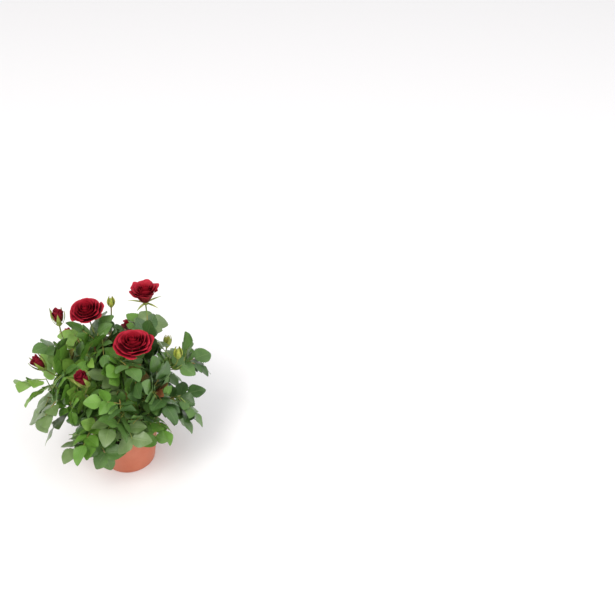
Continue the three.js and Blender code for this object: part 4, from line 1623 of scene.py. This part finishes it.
@dataclass
class Limbs:
    """Dresses canes, boughs, stems and twigs, with their knots and prickles."""

    crown: Crown
    cane: LimbGrain = LimbGrain(40, 16, 0.16)
    bough: LimbGrain = LimbGrain(27, 12, 0.1)
    stem: LimbGrain = LimbGrain(40, 9, 0.06)
    twig: LimbGrain = LimbGrain(8, 7)
    # Canes and boughs are this much of the solids' width before ridges and knots stand out.
    cane_slim: float = 0.93
    bough_slim: float = 0.95
    knot: float = 0.16
    stem_tip: float = 0.8
    twig_radii: tuple[float, float] = (0.95, 0.6)
    twig_bow: float = 0.03
    # A prickle's height, how far out and how far back its points are as shares of that height, and
    # its radii at a height of 2.2 mm.
    prickle: float = 2.6
    hook: tuple[tuple[float, float], ...] = ((0.0, 0.0), (0.5, 0.05), (0.9, 0.28), (1.1, 0.55))
    hook_radii: tuple[float, ...] = (0.62, 0.38, 0.17, 0.03)
    # Where prickles stand on a cane and on a bough, and the limb's radius there.
    cane_prickles: tuple[tuple[float, float], ...] = ((0.3, 2.9), (0.5, 2.7), (0.68, 2.6), (0.9, 2.3))
    bough_prickles: tuple[tuple[float, float], ...] = ((0.1, 1.6), (0.17, 1.5), (0.24, 1.5))
    stem_prickles: int = 4

    def knobbly(self, grain: LimbGrain, radii: np.ndarray, stream: NumberStream) -> np.ndarray:
        """Radii for each corner of each ring, with ridges along the limb and swollen knots.

        Args:
            grain: how the limb is drawn.
            radii: the smooth limb's radius at each ring.
            stream: the numbers that vary them.

        Returns:
            One row for each ring.
        """
        rough = np.array([[stream() for _ in range(grain.sides)] for _ in radii])
        ridges = np.array([stream() for _ in range(grain.sides)])
        # A knot swells at every ninth ring.
        knots = np.exp(-((np.arange(len(radii)) % 9 - 4) / 1.1) ** 2)
        bark = grain.depth * (rough * 0.4 + ridges[None] * 0.6 - 0.5)
        return radii[:, None] * (1 + bark + self.knot * knots[:, None])

    def add_prickles(
        self, stock: MeshStock, path: Bend, spots: Sequence[tuple[float, float]], stream: NumberStream,
    ) -> None:
        """Adds small hooked prickles along a limb.

        Args:
            stock: where they go.
            path: the limb's middle line.
            spots: for each prickle, how far along the limb it is and the limb's radius there.
            stream: the numbers that vary them.
        """
        for share, radius in spots:
            middle, heading = path.point(share), path.tangent(share)
            first, second = across(heading)
            angle = stream() * 2 * math.pi
            out = first * math.cos(angle) + second * math.sin(angle)
            tall = self.prickle * stream.between(0.7, 1.2)
            root = middle + out * radius * 0.7
            line = np.array([root + out * tall * a - heading * tall * b for a, b in self.hook])
            add_tube(stock, line, np.array(self.hook_radii) * tall / 2.2, 6, closed=False)

    def build(self) -> None:
        """Builds the canes, the boughs, the stems with their twigs, and the prickles."""
        stream = NumberStream(77)
        rule = self.crown.rule
        canes, boughs, stems, prickles = (MeshStock() for _ in range(4))
        for path in self.crown.cane_paths:
            along = even(0, 1, self.cane.steps)
            radii = np.interp(along, even(0, 1, 4), self.crown.canes.radii) * self.cane_slim
            add_tube(canes, path.points(along), self.knobbly(self.cane, radii, stream), self.cane.sides)
            self.add_prickles(prickles, path, self.cane_prickles, stream)
        for shoot in self.crown.shoots:
            start = 0.0 if shoot.row.up == 1 else 0.01
            line = shoot.path.points(even(start, rule.bough_share, self.bough.steps))
            radii = even(*rule.bough_radii, self.bough.steps) * self.bough_slim
            add_tube(boughs, line, self.knobbly(self.bough, radii, stream), self.bough.sides)
            self.add_prickles(prickles, shoot.path, self.bough_prickles, stream)
            line = shoot.path.points(even(shoot.stem_from, 1, self.stem.steps))
            radii = even(rule.stem_radii[0], self.stem_tip, self.stem.steps)
            add_tube(stems, line, self.knobbly(self.stem, radii, stream), self.stem.sides)
            spots = [(stream.between(0.36, 0.85), 1.2) for _ in range(self.stem_prickles)]
            self.add_prickles(prickles, shoot.path, spots, stream)
            for root, end in shoot.twigs:
                along = even(0, 1, self.twig.steps)
                bow = UP * float(np.linalg.norm(end - root)) * self.twig_bow
                line = root + np.outer(along, end - root) + np.outer(np.sin(along * math.pi), bow)
                add_tube(stems, line, even(*self.twig_radii, self.twig.steps), self.twig.sides)
        bough_nodes = ["bough_" + shoot.row.name for shoot in self.crown.shoots]
        mass_nodes = ["leaves_" + shoot.row.name for shoot in self.crown.shoots]
        cane_nodes = [f"cane_{i + 1}" for i in range(self.crown.canes.count)]
        canes.make("canes_bark", CANE_BARK, cane_nodes, "cane_bark")
        boughs.make("boughs_bark", SHOOT_SKIN, bough_nodes, "shoot_bark")
        stems.make("stems_and_twigs", SHOOT_SKIN, mass_nodes, "foliage")
        prickles.make("prickles", PRICKLE_SKIN, bough_nodes, "shoot_bark")


@dataclass(frozen=True)
class PetalRing:
    """A ring of petals: how many, how far out and how high their lips are, their wrap and their roll.

    Lips are measured in shares of the bloom's radius and of its cup, or for a bud of its radius alone.
    The wrap is half the angle that a petal goes round the heart, and the roll is how far its lip rolls
    back, in shares of the radius.
    """

    count: int
    lip: float
    height: float
    wrap: float
    roll: float


@dataclass(frozen=True)
class SepalShape:
    """A sepal: its foot's way out, its length and its half width in shares of the flower's radius.

    Its lean is the angle between its foot and the flower's axis, and it curls on by another angle.
    """

    root: float
    length: float
    width: float
    lean: float
    curl: float


@dataclass
class Blossom:
    """Dresses roses and buds: petals in a spiral, sepals, hips and stalks."""

    crown: Crown
    petal_rows: int = 11
    petal_columns: int = 13
    # Rings from the heart out. The last three of a rose are the outer petals.
    rings: tuple[PetalRing, ...] = (
        PetalRing(3, 0.09, 0.90, 1.8, 0.00),
        PetalRing(3, 0.18, 0.95, 1.5, 0.03),
        PetalRing(4, 0.30, 0.96, 1.2, 0.07),
        PetalRing(5, 0.44, 0.92, 0.98, 0.12),
        PetalRing(5, 0.60, 0.82, 0.86, 0.17),
        PetalRing(5, 0.77, 0.68, 0.78, 0.20),
        PetalRing(6, 0.93, 0.50, 0.66, 0.19),
    )
    inner_rings: int = 4
    bud_rings: tuple[PetalRing, ...] = (
        PetalRing(3, 0.22, 2.70, 1.6, 0.00),
        PetalRing(3, 0.46, 2.85, 1.3, 0.03),
        PetalRing(4, 0.70, 2.70, 1.05, 0.08),
        PetalRing(4, 0.90, 2.35, 0.9, 0.14),
    )
    bud_cone: float = 0.3
    # The straight neck under a bloom, and how far buds have swollen past their listed width.
    neck: float = 5.0
    swollen: float = 1.2
    green_swollen: float = 1.4
    sepals: int = 5
    sepal_steps: int = 8
    sepal_columns: tuple[float, ...] = (-1.0, -0.4, 0.4, 1.0)
    open_sepal: SepalShape = SepalShape(0.5, 2.7, 0.42, 0.52, -0.7)
    bent_sepal: SepalShape = SepalShape(0.5, 2.7, 0.42, 0.52 + 0.4, -0.7)
    closed_sepal: SepalShape = SepalShape(0.42, 2.9, 0.62, 0.6, -1.35)
    # Radius and height of the swelling under a flower, and of what a closed bud's sepals wrap.
    hip: tuple[tuple[float, float], ...] = (
        (0.05, -1.0), (0.42, -0.86), (0.85, -0.5), (1.0, -0.1), (0.8, 0.2), (0.05, 0.25),
    )
    core: tuple[tuple[float, float], ...] = (
        (0.02, 0.0), (0.5, 0.25), (0.74, 0.8), (0.62, 1.5), (0.33, 2.1), (0.05, 2.45),
    )
    rose_hip: tuple[float, float] = (0.2, 0.22)
    bud_hip: tuple[float, float] = (0.5, 0.5)
    hip_sides: int = 14
    core_sides: int = 12
    stalk_radii: tuple[float, float] = (1.0, 1.15)
    stalk_steps: int = 24
    stalk_sides: int = 9

    def petal(
        self, ring: PetalRing, lip: float, height: float, radius: float, cone: float, angle: float,
        stream: NumberStream,
    ) -> tuple[np.ndarray, np.ndarray]:
        """One petal on the flower's own axis.

        Args:
            ring: the ring that it belongs to.
            lip: how far out its lip is, in millimetres.
            height: how high its lip is.
            radius: the bloom's radius.
            cone: 0 if the petal bulges like a bowl, 1 if it rises straight like a funnel.
            angle: the way it faces.
            stream: the numbers that vary it.

        Returns:
            Its corners and their marks.
        """
        rows, columns = even(0, 1, self.petal_rows - 1), even(-1, 1, self.petal_columns - 1)
        u, v = np.meshgrid(rows, columns, indexing="ij")
        # The side outline is round, and the lip comes to a faint point where its sides roll back.
        wave = 0.03 * np.sin(v * 5 + stream.between(0, 6)) * u
        t = u * (1 - 0.13 * np.abs(v) ** 2.4 - 0.05 * np.abs(v) + wave)
        s = 1 - t
        foot = radius * 0.06
        bulge = max(lip * (0.95 - 0.4 * cone), foot * 1.4)
        far = s ** 3 * foot + 3 * s * s * t * bulge * 0.8 + 3 * s * t * t * bulge * 1.08 + t ** 3 * lip
        high = 3 * s * s * t * height * 0.08 + 3 * s * t * t * height * 0.72 + t ** 3 * height
        turn_back = np.clip((t - 0.72) / 0.28, 0, 1) ** 1.6 * (0.45 + 0.75 * np.abs(v) ** 1.5)
        far = far + turn_back * ring.roll * radius * 0.8
        high = high - turn_back * ring.roll * radius * 0.75
        # Each petal tucks one side under its neighbour and lays the other over it.
        far = far * (1 + 0.07 * v) + 0.02 * radius * np.sin(v * 3.3 + stream.between(0, 6)) * t
        spread = ring.wrap * (0.5 + 0.5 * np.sin(np.clip(t, 0, 1) * math.pi * 0.62) ** 0.8)
        around = angle + v * spread
        corners = np.stack([far * np.cos(around), far * np.sin(around), high], axis=2).reshape(-1, 3)
        return corners, np.stack([t.ravel(), 0.5 + 0.5 * v.ravel()], axis=1)

    def place(self, flower: Flower, corners: np.ndarray) -> np.ndarray:
        """Sets corners on the flower's own axis into their place.

        Args:
            flower: the flower.
            corners: rows of distances along its two cross axes and its own axis.

        Returns:
            The corners in the plan.
        """
        first, second = across(flower.face)
        base = flower.base + flower.face * self.neck
        return base + corners[:, :1] * first + corners[:, 1:2] * second + corners[:, 2:] * flower.face

    def sepal(self, shape: SepalShape, radius: float, angle: float) -> tuple[np.ndarray, np.ndarray]:
        """One pointed sepal on the flower's own axis.

        Args:
            shape: its shape.
            radius: the flower's radius.
            angle: the way it faces.

        Returns:
            Its corners and their marks.
        """
        width = radius * shape.width
        u = even(0, 1, self.sepal_steps)
        lean = shape.lean + shape.curl * u
        step = radius * shape.length / self.sepal_steps
        far = radius * shape.root + np.concatenate([[0], np.cumsum(np.sin(lean[:-1]) * step)])
        high = np.concatenate([[0], np.cumsum(np.cos(lean[:-1]) * step)])
        half = width * np.sin(np.clip(u * 2.6 + 0.45, 0, math.pi)) ** 0.7 * (1 - u) ** 0.5 + 0.12 * (1 - u)
        rows = []
        for side in self.sepal_columns:
            cup = (1 - abs(side)) * width * 0.35
            rows.append(np.stack([
                (far + cup) * math.cos(angle) - half * side * math.sin(angle),
                (far + cup) * math.sin(angle) + half * side * math.cos(angle),
                high,
            ], axis=1))
        corners = np.stack(rows, axis=1).reshape(-1, 3)
        marks = np.stack([np.repeat(u, len(rows)), np.tile([0.0, 0.33, 0.66, 1.0], len(u))], axis=1)
        return corners, marks

    def add_sepals(
        self, flower: Flower, green: MeshStock, radius: float, shapes: Sequence[SepalShape], shift: float,
    ) -> None:
        """Adds the sepals of a flower.

        Args:
            flower: the flower.
            green: where they go.
            radius: the flower's radius.
            shapes: the shape of each sepal.
            shift: how far they are turned, in shares of the way from one to the next.
        """
        faces = grid_faces(self.sepal_steps + 1, len(self.sepal_columns))
        for i, shape in enumerate(shapes):
            angle = 2 * math.pi * (i + shift) / len(shapes)
            corners, marks = self.sepal(shape, radius, angle)
            green.add(self.place(flower, corners), faces, marks)

    def add_core(self, flower: Flower, green: MeshStock, profile: np.ndarray, sides: int) -> None:
        """Adds a form turned about the flower's own axis.

        Args:
            flower: the flower.
            green: where the form goes.
            profile: rows of radius and height.
            sides: how many corners a ring has.
        """
        stock = MeshStock()
        add_turned_form(stock, profile, sides)
        green.add(self.place(flower, stock.corners[0]), stock.faces[0], stock.marks[0])

    def add_rose(
        self, flower: Flower, outer: MeshStock, inner: MeshStock, green: MeshStock, stream: NumberStream,
    ) -> None:
        """Adds an open rose: rings of petals, a round hip and five sepals bent down.

        Args:
            flower: the rose.
            outer: where its outer petals go.
            inner: where its inner petals go.
            green: where its hip and its sepals go.
            stream: the numbers that vary it.
        """
        radius = flower.row.size / 2
        cup = radius * flower.row.cup
        cone = min(1.0, max(0.0, (flower.row.cup - 1) * 2))
        faces = grid_faces(self.petal_rows, self.petal_columns)
        angle = stream.between(0, 6.28)
        for number, ring in enumerate(self.rings):
            angle += GOLDEN_ANGLE * 0.5
            stock = outer if number >= self.inner_rings else inner
            for i in range(ring.count):
                facing = angle + 2 * math.pi * i / ring.count + stream.between(-0.12, 0.12)
                lip = radius * ring.lip * stream.between(0.93, 1.05)
                upright = ring.height + (0.94 - ring.height) * cone * 0.75
                tall = cup * upright * stream.between(0.9, 1.06)
                corners, marks = self.petal(ring, lip, tall, radius, cone, facing, stream)
                stock.add(self.place(flower, corners), faces, marks)
        hip = np.array(self.hip) * (radius * np.array(self.rose_hip))
        self.add_core(flower, green, hip, self.hip_sides)
        shape = SepalShape(0.12, 0.72 + 0.4 * cone, 0.11, 1.35, 0.35)
        self.add_sepals(flower, green, radius, [shape] * self.sepals, 0.5)

    def add_bud(self, flower: Flower, petals: MeshStock, green: MeshStock, stream: NumberStream) -> None:
        """Adds a bud: furled petals in a pointed egg, with sepals against it or bent away.

        Args:
            flower: the bud.
            petals: where its petals go, if it is open enough to show them.
            green: where its hip and its sepals go.
            stream: the numbers that vary it.
        """
        closed = flower.row.kind is FlowerKind.CLOSED
        radius = flower.row.size / 2 * (self.green_swollen if closed else self.swollen)
        faces = grid_faces(self.petal_rows, self.petal_columns)
        for number, ring in enumerate(() if closed else self.bud_rings):
            for i in range(ring.count):
                facing = number * 1.1 + 2 * math.pi * i / ring.count
                lip = radius * ring.lip * stream.between(0.9, 1.05)
                tall = radius * ring.height * stream.between(0.88, 1.04)
                corners, marks = self.petal(ring, lip, tall, radius, self.bud_cone, facing, stream)
                petals.add(self.place(flower, corners), faces, marks)
        hip = np.array(self.hip) * (radius * np.array(self.bud_hip))
        self.add_core(flower, green, hip, self.hip_sides)
        shapes = [self.closed_sepal if closed else self.open_sepal] * self.sepals
        if not closed:
            # One sepal of an opening bud bends further away than the rest.
            shapes[3] = self.bent_sepal
        self.add_sepals(flower, green, radius, shapes, 0.0)
        if closed:
            self.add_core(flower, green, np.array(self.core) * radius, self.core_sides)

    def build(self) -> None:
        """Builds all petals, sepals, hips and flower stalks."""
        stream = NumberStream(909)
        outer, inner, furled, green, stalks, green_buds = (MeshStock() for _ in range(6))
        names = {kind: [] for kind in FlowerKind}
        steps = even(0, 1, self.stalk_steps)
        for flower in self.crown.flowers:
            kind = flower.row.kind
            names[kind].append(flower.row.name)
            if kind is FlowerKind.ROSE:
                self.add_rose(flower, outer, inner, green, stream)
            else:
                self.add_bud(flower, furled, green if kind is FlowerKind.BUD else green_buds, stream)
            line = flower.stalk.points(steps) + np.outer(steps ** 2, flower.face * self.neck)
            add_tube(stalks, line, even(*self.stalk_radii, self.stalk_steps), self.stalk_sides)
        roses, buds, closed = (names[kind] for kind in FlowerKind)
        outer.make("petals_outer", PETAL_OUTER, roses, "blossom")
        inner.make("petals_inner", PETAL_INNER, roses, "blossom")
        furled.make("petals_of_buds", PETAL_BUD, buds, "blossom")
        green.make("sepals_and_hips", SEPAL_SKIN, roses + buds, "blossom")
        green_buds.make("green_buds", YOUNG_SEPAL_SKIN, closed, "green_buds")
        stalks.make("flower_stalks", SHOOT_SKIN, roses + buds + closed, "blossom")


@dataclass
class GrowingPot:
    """The thin moulded pot, with the band under its rim and a rounded foot."""

    sizes: PotSizes = field(default_factory=PotSizes)
    sides: int = 128

    def build(self) -> None:
        """Builds the pot as one turned wall with rounded edges."""
        s = self.sizes
        low, top = s.height - s.band, s.height
        foot = [
            (0.0, 0.0), (s.foot - 1.6, 0.0), (s.foot - 0.7, 0.15), (s.foot - 0.15, 0.7),
            (s.outer(1.6) - 0.02, 1.6),
        ]
        outside = [(s.outer(z), z) for z in (20, 40, low - 1)] + [(s.outer(low), low - 0.1)]
        rim = [
            (s.rim - 0.75, low + 0.35), (s.rim - 0.5, low + 1.0), (s.rim - 0.2, top - 2.0),
            (s.rim, top - 0.9), (s.rim - 0.12, top - 0.35), (s.rim - 0.5, top - 0.04),
            (s.rim - 1.1, top - 0.04), (s.rim - 1.55, top - 0.4), (s.rim - s.wall - 0.6, top - 1.4),
        ]
        inside = [(s.outer(z) - s.wall, z) for z in (low, 40, s.floor + 3)]
        floor = [(s.outer(s.floor) - s.wall - 2, s.floor), (0.0, s.floor)]
        profile = foot + outside + rim + inside + floor
        stock = MeshStock()
        add_turned_form(stock, np.array(profile), self.sides)
        stock.make("pot_wall", POT_PLASTIC, ["pot"], "pot_plastic")


@dataclass
class PeatBed:
    """The crumbly top of the peat, down to where the pot hides it."""

    pot: PotSizes = field(default_factory=PotSizes)
    peat: PeatSizes = field(default_factory=PeatSizes)
    sides: int = 96
    rings: int = 30
    # How far the mesh stays inside the wall and under the plan's level, and how deep its edge goes.
    inset: float = 0.5
    sink: float = 0.6
    depth: float = 14
    # How rough the surface is, how many crumbs lie on it, and between which sizes they are.
    rough: float = 1.5
    crumbs: int = 420
    crumb_sizes: tuple[float, float] = (0.5, 1.5)
    crumb_spans: tuple[tuple[float, float], ...] = ((0.6, 1.5), (0.6, 1.2), (0.5, 0.9))

    def build(self) -> None:
        """Builds the rough surface and strews crumbs over it."""
        stream = NumberStream(31)
        edge = self.pot.outer(self.peat.level) - self.pot.wall - self.inset
        radii = even(0, 1, self.rings - 1) ** 0.8 * edge
        heights = self.peat.level + self.peat.swell * (1 - (radii / edge) ** 2) - self.sink
        profile = np.stack([radii, heights], axis=1)
        profile = np.concatenate([profile, [[edge - 1.2, self.peat.level - self.depth]]])
        rough = np.array([[stream() for _ in range(self.sides)] for _ in range(len(profile))])
        rough[0] = 0.5
        rough[-1] = 0.5

        def crumble(rings: np.ndarray) -> np.ndarray:
            """Roughens the rings, which come from the rim in."""
            rings[:, :, 2] += (rough[::-1] - 0.5) * self.rough
            return rings

        stock = MeshStock()
        add_turned_form(stock, profile[::-1], self.sides, crumble)
        knob = np.array([[1, 0, 0], [-1, 0, 0], [0, 1, 0], [0, -1, 0], [0, 0, 1], [0, 0, -1]], dtype=float)
        knob_faces = np.array([
            [0, 2, 4], [2, 1, 4], [1, 3, 4], [3, 0, 4], [2, 0, 5], [1, 2, 5], [3, 1, 5], [0, 3, 5],
        ])
        for _ in range(self.crumbs):
            out = math.sqrt(stream()) * (edge - 2)
            angle = stream() * 2 * math.pi
            size = stream.between(*self.crumb_sizes)
            level = self.peat.level + self.peat.swell * (1 - (out / edge) ** 2) - 0.5
            shape = knob * np.array([stream.between(*span) for span in self.crumb_spans]) * size
            spin = stream() * math.pi
            turned_shape = np.stack([
                shape[:, 0] * math.cos(spin) - shape[:, 1] * math.sin(spin),
                shape[:, 0] * math.sin(spin) + shape[:, 1] * math.cos(spin),
                shape[:, 2],
            ], axis=1)
            stock.add(turned_shape + [out * math.cos(angle), out * math.sin(angle), level], knob_faces)
        stock.make("peat_crumbs", PEAT_CRUMB, ["peat"], "peat")


@dataclass
class Studio:
    """The camera, the pale floor and the soft light."""

    camera_place: tuple[float, float, float] = (0.0, -1.0198, 1.0375)
    pitch_down: float = 36.94
    yaw_right: float = 16.57
    lens: float = 50.0
    sensor: float = 36.0
    sight: float = 50.0
    floor_side: float = 9.0
    floor_drop: float = 0.0002
    sky: str = "#ffffff"
    sky_strength: float = 0.8
    # Each lamp: its name, its place and its aim in metres, its side, its power in watts, its colour.
    lamps: tuple[tuple, ...] = (
        ("key", (-1.7, -1.6, 3.4), (0.4, 0.6, 0.1), 1.8, 90.0, "#fffcf6"),
        ("fill", (1.9, -2.2, 2.2), (0, 0, 0.12), 2.4, 40.0, "#fbfdff"),
    )

    def add_camera(self) -> None:
        """Sets the camera where the photograph was taken from."""
        data = bpy.data.cameras.new("camera")
        data.lens = self.lens
        data.sensor_width = self.sensor
        data.clip_end = self.sight
        camera = bpy.data.objects.new("camera", data)
        camera.location = self.camera_place
        camera.rotation_euler = (math.radians(90 - self.pitch_down), 0.0, -math.radians(self.yaw_right))
        bpy.context.scene.collection.objects.link(camera)
        bpy.context.scene.camera = camera

    def add_floor(self) -> None:
        """Lays the pale floor just under the pot."""
        half = self.floor_side / 2
        mesh = bpy.data.meshes.new("floor")
        corners = [(-half, -half, 0), (half, -half, 0), (half, half, 0), (-half, half, 0)]
        mesh.from_pydata(corners, [], [(0, 1, 2, 3)])
        mesh.materials.append(BACKDROP.material())
        floor = bpy.data.objects.new("floor", mesh)
        floor.location.z = -self.floor_drop
        bpy.context.scene.collection.objects.link(floor)

    def add_lamp(
        self, name: str, place: tuple[float, ...], aim: tuple[float, ...], side: float, power: float,
        colour: str,
    ) -> None:
        """Adds a soft square lamp that faces a point.

        Args:
            name: its name.
            place: where it hangs, in metres.
            aim: the point that it faces.
            side: how wide it is.
            power: its power in watts.
            colour: its colour as #rrggbb.
        """
        data = bpy.data.lights.new(name, "AREA")
        data.shape = "SQUARE"
        data.size = side
        data.energy = power
        data.color = linear(colour)[:3]
        lamp = bpy.data.objects.new(name, data)
        lamp.location = place
        way = lamp.location.copy()
        way.x, way.y, way.z = (a - p for a, p in zip(aim, place))
        lamp.rotation_euler = way.to_track_quat("-Z", "Y").to_euler()
        bpy.context.scene.collection.objects.link(lamp)

    def add_sky(self) -> None:
        """Fills the room with even white light."""
        world = bpy.data.worlds.new("studio")
        world.use_nodes = True
        back = world.node_tree.nodes["Background"]
        back.inputs["Color"].default_value = linear(self.sky)
        back.inputs["Strength"].default_value = self.sky_strength
        bpy.context.scene.world = world

    def build(self) -> None:
        """Builds the studio."""
        self.add_camera()
        self.add_floor()
        self.add_sky()
        for lamp in self.lamps:
            self.add_lamp(*lamp)
        bpy.context.scene.view_settings.view_transform = "Standard"


def main() -> None:
    """Builds the studio and every piece of the plant."""
    logging.basicConfig(level=logging.INFO, format="%(name)s: %(message)s")
    Studio().build()
    crown = Crown()
    crown.grow()
    GrowingPot().build()
    PeatBed().build()
    Limbs(crown).build()
    Foliage(crown).build()
    Blossom(crown).build()


if __name__ == "__main__":
    main()
